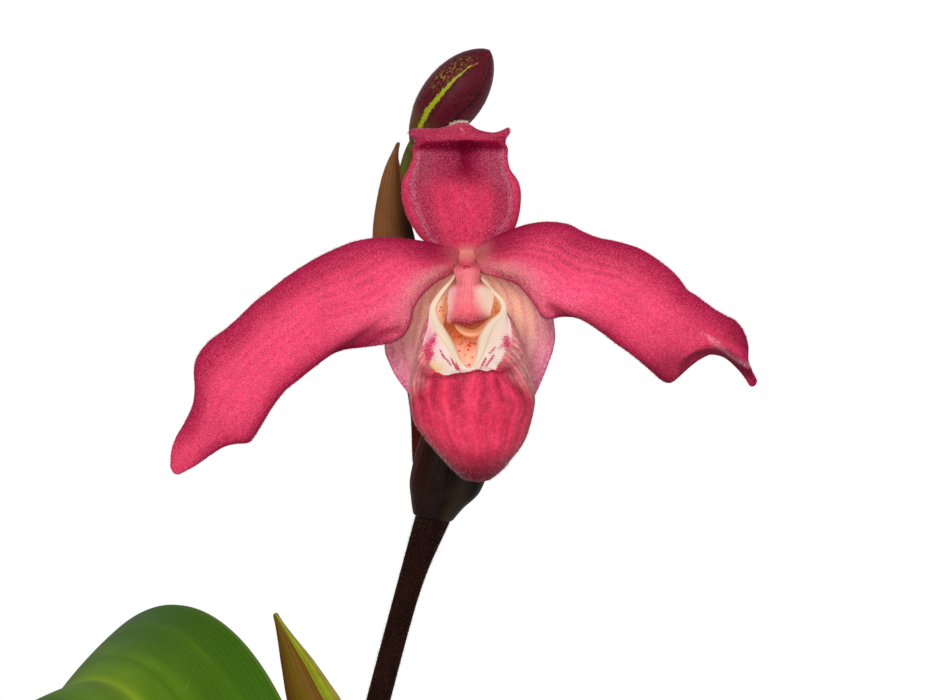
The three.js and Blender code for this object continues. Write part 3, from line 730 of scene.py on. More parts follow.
print("materials")
rosePetal = makePetalMaterial("rosePetal", 1.0)
roseSepal = makePetalMaterial("roseSepal", 2.0, 0.42)
paleHair = makeHairMaterial("paleHair", "dc90aa", "94325c")
roseHair = makeHairMaterial("roseHair", "e85884", "98123e")
whiteHair = makeHairMaterial("whiteHair", "f8d6e0", "d07c9c")
creamHair = makeHairMaterial("creamHair", "fff4de", "ecc8a8")
darkHair = makeHairMaterial("darkHair", "9a2c4c", "68142e")
stemHair = makeHairMaterial("stemHair", "a07c5c", "4a3424")
tanHair = makeHairMaterial("tanHair", "b08c6a", "5e4430")
synsepalTissue = makeSynsepalMaterial()
lipTissue = makePouchMaterial()
columnTissue = makeColumnMaterial()
leafBlade = makeLeafMaterial()
stemSkin = makeStemMaterial("stemSkin", "150806", "24100b")
rachisSkin = makeStemMaterial("rachisSkin", "2e0806", "461410")
ovarySkin = makeStemMaterial("ovarySkin", "3a0d12", "5a1a1e")
# the olive-brown left wing, left of the keel line, is its own colour painted darker as the side in shade
greenBract = makeBractMaterial(
    "greenBract", [(0, "4e2a0c"), (0.3, "5e3e0c"), (0.5, "66520a"), (0.71, "6e4a10"), (0.73, "6a2c12"),
                   (0.75, "84961a"), (0.86, "98a222"), (1, "ac8c46")],
    "5a3a12", 0.08, 0.45, "98803a", coat=0, seed=51)
# the brown band at 0.6 of the width is a painted highlight
darkBract = makeBractMaterial(
    "darkBract", [(0, "4a0e06"), (0.24, "260b05"), (0.5, "120603"), (0.6, "33261a"), (0.72, "100603"),
                  (1, "1c110a")],
    "241a12", 0.14, 0.3, "4a2e26", coat=0.1, seed=54)
# the dark stop at 0.85 and the dark right side of the foot are painted shadow
brownBract = makeBractMaterial(
    "brownBract", [(0, "8c5c38"), (0.4, "845630"), (0.7, "74492a"), (0.85, "43290f"), (1, "6e3420")],
    "4e3218", 0.16, 0.75, "8c4630", coat=0, seed=57, footShadeTone="1c0d06")
budSkin = makeBudMaterial()
terracotta = makeClayMaterial()
barkChips = makeBarkMaterial()
rootVelamen = makeRootMaterial()


# ---- petals

# Each petal lies between two edges, upper(u) and lower(u). Folds are lines (x0, z0) to (x1, z1)
# on it, with a width and a depth; a negative depth is a ridge.
leftPetal = {
    "upper": [(-0.9, 3.0, 1.5), (-3.7, 0.7, 2.5), (-6.1, 0.2, 3.1), (-8.3, -0.5, 3.6), (-11.9, -1.2, 4.1),
              (-15.1, -1.6, 4.3), (-17.6, -2.0, 4.0), (-20.0, -2.3, 3.5), (-22.8, -2.7, 2.4),
              (-25.7, -3.0, 1.0), (-28.6, -3.2, -0.7), (-31.3, -3.5, -2.5), (-33.8, -3.8, -4.5),
              (-36.3, -4.0, -6.4), (-38.9, -3.9, -8.9), (-41.6, -3.7, -11.3), (-44.2, -3.6, -13.2),
              (-46.1, -3.1, -15.6), (-46.8, -2.6, -17.9), (-46.7, -2.2, -21.1), (-47.1, -1.8, -24.1),
              (-48.5, -1.4, -27.2), (-50.0, -0.9, -29.8), (-50.9, -0.5, -32.3), (-51.1, 0.0, -34.9)],
    "lower": [(-1.4, 3.0, -1.2), (-3.6, -0.8, -2.2), (-5.2, -2.6, -2.9), (-6.8, -3.5, -4.0),
              (-8.3, -4.4, -5.5), (-9.6, -4.8, -7.8), (-10.1, -5.2, -10.2), (-11.3, -5.2, -12.2),
              (-13.3, -5.2, -13.4), (-17.2, -4.9, -14.1), (-20.9, -4.5, -14.6), (-23.5, -4.2, -15.5),
              (-26.4, -3.9, -17.6), (-29.1, -3.6, -19.8), (-31.4, -3.3, -21.7), (-33.6, -3.0, -24.6),
              (-35.3, -2.9, -27.4), (-36.7, -2.7, -29.6), (-37.8, -2.6, -30.7), (-39.8, -2.3, -30.9),
              (-41.9, -1.9, -31.4), (-44.3, -1.6, -32.8), (-46.4, -1.1, -34.3), (-48.2, -0.5, -35.4),
              (-49.8, 0.0, -36.3)],
    "folds": [(-14.4, -9.4, -22.4, -15.0, 1.0, 1.1), (-12.0, -10.6, -19.5, -13.9, 0.7, 0.6),
              (-17.8, -9.2, -27.0, -15.8, 1.6, -0.5)],
    "side": -1,
}
rightPetal = {
    "upper": [(0.0, 3.0, 1.5), (2.2, 0.7, 3.0), (4.6, 0.2, 4.4), (7.3, -0.4, 5.6), (10.0, -1.0, 6.5),
              (13.2, -1.2, 6.9), (16.6, -1.4, 6.5), (19.0, -1.6, 5.3), (21.8, -1.9, 4.2),
              (25.2, -2.3, 3.5), (28.7, -2.6, 2.4), (31.4, -3.0, 0.8), (33.8, -3.3, -1.0),
              (35.3, -3.6, -2.5), (36.8, -4.0, -4.5), (38.3, -4.0, -5.5), (39.9, -4.0, -6.7),
              (41.6, -4.0, -7.9), (43.3, -3.6, -8.9), (45.0, -3.2, -9.8), (46.4, -2.6, -11.6),
              (47.2, -2.0, -14.0), (47.1, -1.4, -16.6), (47.9, -0.2, -18.4), (49.0, 1.0, -20.2)],
    "lower": [(0.9, 3.0, -1.6), (2.7, -0.8, -2.0), (4.6, -2.6, -2.4), (6.6, -3.3, -3.0),
              (8.3, -3.9, -3.8), (9.4, -4.6, -5.0), (10.4, -4.9, -6.3), (11.3, -5.2, -7.6),
              (12.0, -5.2, -8.8), (13.0, -5.2, -9.3), (15.2, -4.9, -9.0), (17.6, -4.7, -9.0),
              (19.9, -4.4, -10.1), (22.5, -4.3, -11.9), (24.7, -4.2, -13.6), (27.1, -4.1, -15.3),
              (29.1, -4.0, -16.9), (30.8, -3.8, -18.4), (32.4, -3.6, -19.8), (33.9, -3.4, -20.2),
              (35.8, -2.8, -18.0), (39.0, -2.2, -15.7), (42.8, -1.6, -15.7), (45.8, -0.3, -18.1),
              (47.9, 1.0, -21.3)],
    "folds": [(13.2, -6.6, 17.2, -9.6, 0.9, 0.8), (15.5, -6.0, 22.5, -10.0, 1.3, -0.4),
              (40.0, -12.0, 47.2, -17.4, 1.2, -1.0)],
    "side": 1,
}
petalForm = {
    "thickness": 0.75, "swell": 1.6, "wave": 1.1, "rimRoll": 0.7, "ripple": 0.5, "rows": 260, "columns": 84,
    "hairs": (8500, 3500), "hairLengths": (0.14, 0.3), "rimHairs": 1700, "rimHairLengths": (0.18, 0.42),
    "bristles": 330, "bristleLengths": (0.6, 1.2),
}


# how near a point (x, z) is to a line, as exp(-(distance / width)^2), fading in along it
def nearLine(x, z, line):
    x0, z0, x1, z1, width = line[:5]
    alongX, alongZ = x1 - x0, z1 - z0
    t = ((x - x0) * alongX + (z - z0) * alongZ) / (alongX**2 + alongZ**2)
    distance = np.hypot(x - x0 - alongX * np.clip(t, 0, 1), z - z0 - alongZ * np.clip(t, 0, 1))
    return np.exp(-(distance / width) ** 2) * ramp(t, -0.25, 0.35)


# how far each point is from a line of points, seen from the front
def fromLine(points, line):
    gaps = points[..., None, ::2] - line[::2, ::2]
    return np.sqrt((gaps**2).sum(axis=-1).min(axis=-1))


# P = (1 - v) upper + v lower, then along Y: forward by swell sin(pi v)(1 - u), against each other
# by wave sin(3 pi u)(v - 1/2), back at the rolled rims, and in or out at the folds
def petalMiddle(petal, u, v):
    form, side = petalForm, petal["side"]
    top, low = curveAt(petal["upper"], u)[:, None], curveAt(petal["lower"], u)[:, None]
    u, v = u[:, None], v[None, :]
    points = blend(top, low, v[..., None])
    forward = form["swell"] * np.sin(np.pi * v) * (1 - u) * ramp(u, 0, 0.14)
    forward = forward - form["wave"] * np.sin(3 * np.pi * u) * (v - 0.5)
    away = ramp(u, 0.02, 0.12) * (1 - ramp(u, 0.9, 1))
    rims = ramp(v, 0.09, 0) + ramp(v, 0.93, 1.0)
    forward = forward - form["rimRoll"] * rims * away
    ripple = np.sin(17 * u + 2.2 * side) * ramp(v, 0.65, 1) + 0.6 * np.sin(13 * u) * ramp(v, 0.3, 0)
    forward = forward + form["ripple"] * ripple * away * (1 - 0.5 * u)
    outward = unit(points[-1].mean(axis=0) - points[-20].mean(axis=0))
    points = points + (0.6 * np.sin(np.pi * v) ** 0.7 * ramp(u, 0.96, 1))[..., None] * outward
    x, z = points[..., 0], points[..., 2]
    for fold in petal["folds"]:
        forward = forward - fold[5] * nearLine(x, z, fold)
    if side > 0:                                     # its tip's lower margin turns back and under
        fromLow = fromLine(points, low[:, 0])
        turned = 1.1 * ramp(x, 34.5, 37.5) * ramp(fromLow, 1.6, 0.2)
        forward = forward - turned * (1 - 0.7 * ramp(x, 44, 47))
        raised = 0.8 * ramp(x, 36.5, 39.5) * bump(fromLow, 2.1, 0.8)
        forward = forward + raised * (1 - 0.7 * ramp(x, 45, 47.5))
    points[..., 1] -= forward
    return points


def makePetal(name, petal):
    form, side = petalForm, petal["side"]
    random = np.random.default_rng(100 + side)
    u, v = steps(form["rows"], 0.25), steps(form["columns"], 0.45)
    middle = petalMiddle(petal, u, v)
    x, z = middle[..., 0], middle[..., 2]
    along, across = np.broadcast_arrays(u[:, None], v[None, :])
    fromTop = runFrom(middle, 1)
    fromLow = fromTop[:, -1:] - fromTop
    reach = np.abs(x)
    edge = np.minimum(fromTop, (1.6 + 3.9 * ramp(reach, 17.0, 9.0)) * fromLow)
    folds = sum(nearLine(x, z, fold) for fold in petal["folds"] if fold[5] > 0)
    lower = ramp(across, 0.5, 0.8) * ramp(reach, 15.0, 6.0) * ramp(fromLow, 0.4, 2.0)
    throat = 0.75 * np.maximum(ramp(reach, 5.4, 1.4), lower)
    glow = ramp(across, 0.16, 0.42) * ramp(across, 1.02, 0.66) * ramp(along, 0.08, 0.24)
    glow = glow * (ramp(along, 1.3, 0.5) if side < 0 else ramp(along, 0.95, 0.45))
    tipLight = 4 * ramp(along, 0.86, 0.98) * (side < 0)
    # painted shade at the foot on the petal's upper half, and in the folds
    base = 0.4 * bump(along, 0.09, 0.09) * ramp(across, 0.62, 0.3)
    shade = np.clip(1.1 * folds * ramp(fromLow, 6.5, 1.0) + base, 0, 0.58)
    lilac = (0.28 * ramp(across, 0.45, 0.8) * ramp(reach, 26, 12) + 0.04) * (1 - shade) ** 2
    # on the right petal: painted shade on the turned margin, the tip and the lower corner, and a paler ridge
    if side > 0:                                     # the turned margin, its ridge and the shaded tip
        toLow = fromLine(middle, middle[:, -1])
        turned = ramp(x, 34.3, 35.5) * ramp(toLow, 1.6, 1.25) * ramp(z, -20.0, -18.8)
        tip = ramp(x, 40, 46) * ramp(toLow, 2.0, 3.2)
        corner = ramp(np.hypot(x - 33.5, z + 20.5), 8.0, 2.5)
        for share, mask in ((0.72, turned), (0.45, tip), (0.55, corner)):
            shade = np.maximum(shade, share * mask)
        ridge = nearLine(x, z, (39.0, -11.6, 47.2, -17.4, 0.3)) * ramp(toLow, 0.2, 0.6)
        lilac = np.maximum(lilac, ridge)
        glow = glow * (1 - corner)
    marks = {"edge": edge + 5 * ramp(along, 0.12, 0.0) + tipLight, "glow": glow, "throat": throat,
             "streak": ramp(across, 0.75, 0.2) * ramp(along, 0.8, 0.2) + 0.4,
             "shade": shade, "lilac": lilac}
    part = bladeOf(middle, form["thickness"], u, v, marks)
    makeFlowerPiece(name, part, rosePetal, name)

    # short hairs all over, and longer pale ones along the free edge
    density = 0.4 + (1 - throat)
    hairs = furOnBlade(part, form["hairs"], random, 0.55, form["hairLengths"], (density, density))
    rims = [fringeOn(middle[:, outer], middle[:, inner], 2, form["rimHairs"], random, form["rimHairLengths"])
            for outer, inner in ((0, 6), (-1, -7))]
    makeFlowerHairs(name + "_hairs", hairs, 0.019, roseHair, "petal", name, random)
    makeFlowerHairs(name + "_rim_hairs", rims, 0.018, paleHair, "petal", name, random)

    # dark bristles lean over the petal's lower foot
    density = lower * ramp(fromLow, 3.2, 0.8) * ramp(reach, 2.0, 4.0) + leastDensity
    roots, out = scatter(middle, frontNormalsOf(middle), form["bristles"], random, density)
    down = unit(np.array([0.4 * side, -0.2, -1.0]) + 0.14 * random.normal(size=(len(roots), 3)))
    lengths = random.uniform(*form["bristleLengths"], len(roots))
    makeFlowerHairs(name + "_bristles", [(roots + 0.3 * out, 0.5 * out + down, lengths)], 0.013,
                    darkHair, "petal", name, random, lean=0.3 * down, pieces=2)


# a net's normals on the side that faces the front
def frontNormalsOf(middle):
    normals = normalsOf(middle)
    return normals * np.sign(-normals[..., 1:2] + 1e-9)


print("petals")
makePetal("petal_left", leftPetal)
makePetal("petal_right", rightPetal)


# ---- sepals

# Rows of the dorsal sepal from its foot up: height, middle x and y, left margin, left ridge,
# right ridge and right margin x, and the y of the ridges and of the margins
sepalForm = {
    "rows": [
        (0.2, -0.5, 1.9, -2.6, -2.1, 1.1, 1.6, 1.8, 2.0), (3.6, -1.1, 3.0, -7.8, -6.5, 4.3, 5.6, 1.6, 2.4),
        (5.6, -1.0, 3.4, -9.5, -7.7, 5.6, 7.5, 1.0, 2.2), (7.8, -0.9, 3.6, -10.7, -8.8, 6.9, 8.2, 0.5, 2.0),
        (10.1, -1.2, 3.6, -11.4, -9.6, 7.2, 8.5, 0.1, 1.8),
        (12.1, -1.4, 3.4, -11.6, -10.0, 7.1, 8.5, -0.2, 1.4),
        (13.8, -1.8, 2.9, -11.3, -10.2, 6.7, 8.0, -0.6, 0.8),
        (15.7, -1.8, 2.2, -10.3, -9.6, 6.0, 6.5, -1.0, 0.1),
        (17.8, -1.7, 1.2, -9.3, -9.0, 5.7, 5.9, -1.4, -0.8),
        (19.5, -1.6, -0.4, -9.2, -9.0, 5.7, 5.9, -1.9, -1.6)],
    "foldLine": [(-9.4, -2.1, 21.0), (-6.8, -2.8, 21.0), (-3.9, -3.1, 21.2), (-1.0, -3.2, 21.3),
                 (1.7, -3.1, 21.2), (4.0, -2.7, 21.1), (6.1, -2.0, 21.1)],
    "strip": [(-10.3, -2.6, 21.9), (-7.4, -2.9, 21.5), (-4.0, -2.5, 22.1), (-1.0, -2.3, 22.6),
              (1.5, -2.5, 21.9), (3.9, -2.9, 21.5), (6.7, -2.6, 22.0)],
    "crest": [(-10.4, -1.2, 21.9), (-9.1, -1.7, 22.6), (-5.4, -1.7, 22.6), (-1.2, -1.6, 23.7),
              (1.5, -1.7, 22.3), (4.3, -1.8, 21.8), (6.6, -1.3, 22.8)],
    "thickness": 0.75, "rowSteps": 170, "columnSteps": 120, "hairs": (7500, 5500),
    "hairLengths": (0.15, 0.32), "rimHairs": (600, 600, 700), "rimHairLengths": (0.18, 0.4),
    "tuftHairs": 520, "tuftLengths": (0.2, 0.55), "seed": 210,
}


def sepalNet():
    net = []
    for z, mx, my, leftRim, leftRidge, rightRidge, rightRim, ridgeY, rimY in sepalForm["rows"]:
        halfwayY = my + 0.42 * (ridgeY - my)
        net.append([(leftRim, rimY, z), (leftRidge, ridgeY, z), (blend(mx, leftRidge, 0.55), halfwayY, z),
                    (mx, my, z), (blend(mx, rightRidge, 0.55), halfwayY, z), (rightRidge, ridgeY, z),
                    (rightRim, rimY, z)])
    net += [sepalForm["foldLine"], sepalForm["strip"], sepalForm["crest"]]
    return np.array(net, float)


def makeDorsalSepal():
    form = sepalForm
    random = np.random.default_rng(form["seed"])
    u, v = steps(form["rowSteps"], 0.2), steps(form["columnSteps"], 0.3)
    middle = netSurface(sepalNet(), u, v)
    along, across = np.broadcast_arrays(u[:, None], v[None, :])
    x = middle[..., 0]
    crease = bump(x, -1.3, 0.55) * ramp(along, 0.52, 0.66) * ramp(along, 0.84, 0.78)
    middle[..., 1] += 0.5 * crease
    fromMiddle = np.abs(across - 0.5)
    ridge = bump(across, 0.18, 0.022) + bump(across, 0.82, 0.022)
    margin = ramp(across, 0.165, 0.14) + ramp(across, 0.835, 0.86)
    below = ramp(along, 0.83, 0.79)
    spread = 0.12 + 0.24 * ramp(along, 0.62, 0.2)
    glow = ramp(along, 0.68, 0.36) * ramp(along, 0.0, 0.16) * ramp(fromMiddle / spread, 1.0, 0.2)
    sides = ramp(fromMiddle, 0.1, 0.28) * below * (1 - margin)
    upper = ramp(along, 0.38, 0.62) * below * (1 - margin)
    strip = ramp(along, 0.82, 0.84)
    hollow = ramp(along, 0.69, 0.77) * ramp(along, 0.83, 0.815) * (1 - 0.15 * margin)
    deepest = bump(across, 0.54, 0.08) * ramp(along, 0.4, 0.6) * ramp(along, 0.83, 0.815)
    # a painted glint on the turned strip, along the crease
    glint = bump(x, -1.3 + 0.25 * np.sin(60 * along), 0.16) * bump(along, 0.9, 0.03)
    bare = (1 - hollow) * (1 - deepest)
    # the hairs' pale bloom, with a painted sheen along the ridges and the painted glint
    bloomSheenAndGlint = (0.3 * ridge + 0.12 * sides + 0.1 * upper) * below * (1 - 0.8 * margin) * bare
    bloomSheenAndGlint = bloomSheenAndGlint + strip * (0.1 + 0.3 * ramp(along, 0.95, 1.0)) + 0.8 * glint
    # edge darkens the sides and the upper part, and the turned strip as painted shade; shade is painted shade
    # in the hollow under the hood, down its middle, in the crease and on the strip
    marks = {
        "edge": 5.4 - 4.7 * np.maximum(0.9 * sides, upper) - 2.4 * strip,
        "glow": np.clip(0.44 * glow + 0.4 * margin * ramp(along, 0.62, 0.5), 0, 1),
        "throat": 0.75 * ramp(along, 0.08, 0.02) * ramp(np.abs(x + 0.5), 3.0, 0.5),
        "streak": 0.7, "lilac": np.clip(bloomSheenAndGlint, 0, 0.8),
        "shade": np.clip(0.64 * hollow + 0.6 * deepest + 0.15 * crease + 0.3 * strip, 0, 0.9),
    }
    part = bladeOf(middle, form["thickness"], u, v, marks)
    makeFlowerPiece("dorsal_sepal", part, roseSepal, "dorsal_sepal")

    # fur mostly on the side that faces the front, which is the blade's rear skin
    fur = (1.0 * ridge + 1.6 * sides + 1.5 * upper) * (1 - hollow) * (1 - 0.85 * deepest)
    fur = fur * (1 - margin) * (1 - strip)
    densities = (0.05 + 0 * fur, 0.05 + fur)
    hairs = furOnBlade(part, form["hairs"], random, 0.5, form["hairLengths"], densities)
    edges = ((middle[:, 0], middle[:, 6]), (middle[:, -1], middle[:, -7]), (middle[-1], middle[-7]))
    hairs += [fringeOn(line, inner, 1, count, random, form["rimHairLengths"])
              for (line, inner), count in zip(edges, form["rimHairs"])]
    crest, count = middle[-1, 51:65], form["tuftHairs"]      # a tuft on the middle of the crest
    spots = crest[random.integers(0, len(crest), count)]
    out = np.array([0.0, -0.5, 0.8]) + 1.1 * unit(random.normal(size=(count, 3)))
    spots = spots + 0.15 * random.normal(size=(count, 3))
    tuft = [(spots, out, random.uniform(*form["tuftLengths"], count))]
    makeFlowerHairs("dorsal_sepal_tuft", tuft, 0.034, creamHair, "petal", "dorsal_sepal", random)
    makeFlowerHairs("dorsal_sepal_hairs", hairs, 0.0155, whiteHair, "petal", "dorsal_sepal", random)


# Rows of the fused lower sepals: height, middle x and y, left x, right x, and the y of the edges
lowerSepalForm = {
    "rows": [(-1.1, -0.1, 2.1, -4.6, 4.6, 2.3), (-3.3, -0.2, 3.0, -9.0, 9.4, 2.6),
             (-5.6, -0.2, 4.0, -11.6, 12.4, 2.5),
             (-8.2, 0.0, 5.0, -13.1, 14.0, 2.3), (-10.7, 0.1, 5.7, -13.8, 14.4, 2.3),
             (-13.0, 0.0, 6.1, -14.5, 14.6, 2.5),
             (-15.4, -0.2, 6.2, -14.6, 14.2, 2.6), (-17.4, -0.2, 6.1, -13.9, 13.5, 2.7),
             (-19.8, -0.0, 5.7, -12.7, 12.6, 2.5),
             (-22.7, 0.3, 5.1, -10.6, 11.3, 2.3), (-25.8, 0.6, 4.5, -8.4, 9.6, 2.3),
             (-29.2, 0.8, 4.0, -5.8, 7.4, 2.3),
             (-32.6, 0.9, 3.5, -3.3, 5.2, 2.5), (-35.3, 1.0, 3.2, -1.2, 3.3, 2.8),
             (-36.6, 0.9, 3.0, 0.3, 1.6, 2.9)],
    "thickness": 0.7, "rowSteps": 150, "columnSteps": 100, "hairs": (3200, 4200),
    "hairLengths": (0.12, 0.26), "seed": 220,
}


# each row is a bow through its middle and its two edges; four ribs run along the blade
def makeSynsepal():
    form = lowerSepalForm
    random = np.random.default_rng(form["seed"])
    net = []
    for z, mx, my, left, right, sideY in form["rows"]:
        net.append([(blend(mx, right if t > 0 else left, abs(t)), my + (sideY - my) * t * t, z)
                    for t in np.linspace(-1, 1, 7)])
    u, v = steps(form["rowSteps"], 0.3), steps(form["columnSteps"], 0.3)
    middle = netSurface(net, u, v)
    along, across = np.broadcast_arrays(u[:, None], v[None, :])
    ribs = np.cos(2 * np.pi * 4 * (across - 0.5)) * ramp(along, 0.1, 0.4) * ramp(along, 1.0, 0.7)
    middle[..., 1] += 0.12 * ribs
    part = bladeOf(middle, form["thickness"], u, v, {"edge": toEdge(middle, 1)})
    makeFlowerPiece("synsepal", part, synsepalTissue, "synsepal")
    hairs = furOnBlade(part, form["hairs"], random, 0.5, form["hairLengths"])
    makeFlowerHairs("synsepal_hairs", hairs, 0.024, paleHair, "synsepal", "synsepal", random)


print("sepals")
makeDorsalSepal()
makeSynsepal()


# ---- the lip, a pouch

# Ovals are centre x, y, z, half width and half depth. The other rings have sixteen points each,
# from the front round by +X, the back and -X.
pouchForm = {
    "toe": (1.49, -12.3, -36.13),
    "ovals": [(1.41, -12.2, -35.67, 1.92, 2.0), (1.33, -12.1, -34.93, 3.0, 3.3),
              (1.32, -11.9, -33.77, 4.34, 5.0),
              (1.24, -11.7, -32.28, 5.6, 6.6), (1.16, -11.5, -30.62, 7.02, 8.0),
              (0.91, -11.2, -28.64, 8.44, 9.2),
              (0.45, -11, -26.31, 9.66, 10.0), (0.37, -10.9, -24.13, 10.24, 10.4),
              (0.34, -10.8, -21.79, 10.45, 10.5)],
    "upper": [(0.6, -21.3, -18.2), (3.6, -20.5, -18.3), (6.4, -18.4, -18.5), (8.8, -15.0, -18.5),
              (10.1, -11.0, -18.1), (9.7, -7.4, -15.6), (8.1, -4.6, -11.9), (4.4, -2.2, -6.8),
              (-0.5, -0.6, -3.9), (-5.1, -2.2, -6.8), (-8.1, -4.6, -11.7), (-9.2, -7.4, -15.0),
              (-9.9, -11.0, -17.9), (-9.4, -15.0, -19.0), (-6.9, -18.4, -19.2), (-3.0, -20.5, -19.0)],
    "fold": [(0.6, -20.4, -16.6), (3.3, -19.8, -16.7), (5.4, -18.4, -16.7), (7.0, -15.0, -15.5),
             (8.2, -11.5, -13.5), (7.5, -8.2, -10.9), (6.1, -6.0, -8.4), (3.5, -3.0, -4.6),
             (-0.5, 3.6, -1.6), (-4.0, -2.8, -3.7), (-6.2, -6.0, -7.9), (-7.2, -8.2, -11.1),
             (-8.3, -11.5, -13.5), (-8.6, -15.0, -15.9), (-6.6, -18.4, -17.5), (-3.3, -19.8, -17.4)],
    "lobe": [(0.0, -19.0, -16.6), (2.0, -18.4, -16.4), (3.3, -16.8, -15.7), (4.5, -13.4, -13.8),
             (5.8, -10.4, -11.9), (6.4, -7.8, -9.8), (5.9, -5.6, -7.4), (3.7, -3.5, -4.7),
             (-0.5, 3.4, -1.3), (-3.8, -3.0, -3.5), (-5.9, -5.4, -6.9), (-6.8, -7.4, -9.5),
             (-7.4, -9.8, -11.8), (-6.7, -13.0, -13.9), (-4.8, -16.4, -15.9), (-2.5, -18.6, -16.7)],
    "band": [(-0.1, -18.3, -16.7), (1.0, -16.9, -15.8), (1.9, -14.3, -13.8), (2.5, -11.6, -11.8),
             (3.8, -9.2, -9.8), (5.4, -7.2, -8.2), (5.5, -5.8, -6.6), (4.0, -4.2, -4.8),
             (-0.5, 3.2, -1.0), (-3.5, -3.2, -3.4), (-5.3, -5.0, -5.6), (-6.2, -6.4, -7.5),
             (-5.8, -8.0, -9.4), (-4.7, -10.4, -11.4), (-3.3, -13.0, -13.4), (-1.8, -16.5, -15.6)],
    "bandHalf": [0.25, 0.5, 0.85, 1.05, 0.85, 0.62, 0.44, 0.34, 0.3], "columns": 256, "rowsEach": 9,
    # wine-red blotches on the side lobes: x, z, radius, and strokes: x0, z0, x1, z1, width
    "blotches": [(-7.2, -13.7, 1.15), (-6.8, -15.0, 1.1), (-6.2, -12.4, 0.8), (-5.6, -11.4, 0.5),
                 (-7.9, -16.0, 0.8),
                 (6.0, -12.2, 0.9), (6.2, -13.4, 0.85), (7.3, -14.8, 0.8), (6.9, -15.9, 0.9),
                 (-8.6, -16.6, 0.8)],
    "strokes": [(-4.4, -14.6, -3.2, -16.0, 0.2), (-3.4, -14.6, -2.2, -16.6, 0.22),
                (-5.1, -13.6, -4.3, -15.0, 0.2),
                (-2.5, -15.2, -1.7, -16.8, 0.18), (1.6, -16.6, 2.6, -15.0, 0.25),
                (2.4, -16.4, 3.9, -14.6, 0.26),
                (3.0, -14.4, 4.2, -13.4, 0.2), (4.6, -13.9, 5.4, -12.9, 0.2),
                (0.7, -16.2, 1.2, -15.2, 0.2)],
    "hairs": 9000, "hairLengths": (0.12, 0.24), "seed": 230,
}


# an oval as sixteen points: front first, x = half width sin(a), y = -half depth cos(a)
def ovalRing(oval):
    x, y, z, halfWidth, halfDepth = oval
    angle = turnSteps(16)
    return np.stack([x + halfWidth * np.sin(angle), y - halfDepth * np.cos(angle), z + 0 * angle], axis=1)


# the pouch's rings from its toe up the outside, over the rolled edge and down the inside, and
# what each of them is part of
def pouchRings():
    form = pouchForm
    v = np.arange(form["columns"]) / form["columns"]
    outer = [curveAt(ovalRing(oval), v, closed=True) for oval in form["ovals"]]
    keys = ("upper", "fold", "lobe", "band")
    upper, fold, lobe, band = (curveAt(form[key], v, closed=True) for key in keys)
    outer.append(upper)
    # the rolled band: round its line, from the lobe's side over the top to the inside
    alongBand = unit(np.roll(band, -1, axis=0) - np.roll(band, 1, axis=0))
    away = unit(np.cross(alongBand, np.array([0, -0.68, 0.73])))
    away = away * np.sign(away[len(v) // 4, 0])
    up = unit(np.cross(away, alongBand))
    up = up * np.sign(up[0, 2])
    r = valuesAt(form["bandHalf"], 2 * np.abs((v + 0.5) % 1 - 0.5))
    roll = ((1, 0.1), (0.55, 0.5), (0, 0.6), (-0.6, 0.45), (-0.9, -0.1), (-0.75, -1.1))
    rolled = [band + away * a * r + up * b * r for a, b in roll]
    middle = np.array([0.6, -10.5, 0.0])

    def shrunk(ring, wall, lift):
        inward = (middle - ring) * [1, 1, 0]
        return ring + unit(inward) * wall + [0, 0, lift]

    inner = [shrunk(fold, 2.0, -2.4), shrunk(upper, 1.1, -1.2)]
    inner += [shrunk(outer[k], 0.9, lift) for k, lift in ((8, 0.0), (6, 0.2), (4, 0.5), (2, 0.9))]
    names = ["outer"] * len(outer) + ["fold", "lobe"] + ["band"] * len(rolled) + ["inner"] * len(inner)
    return np.array(outer + [fold, lobe] + rolled + inner), names


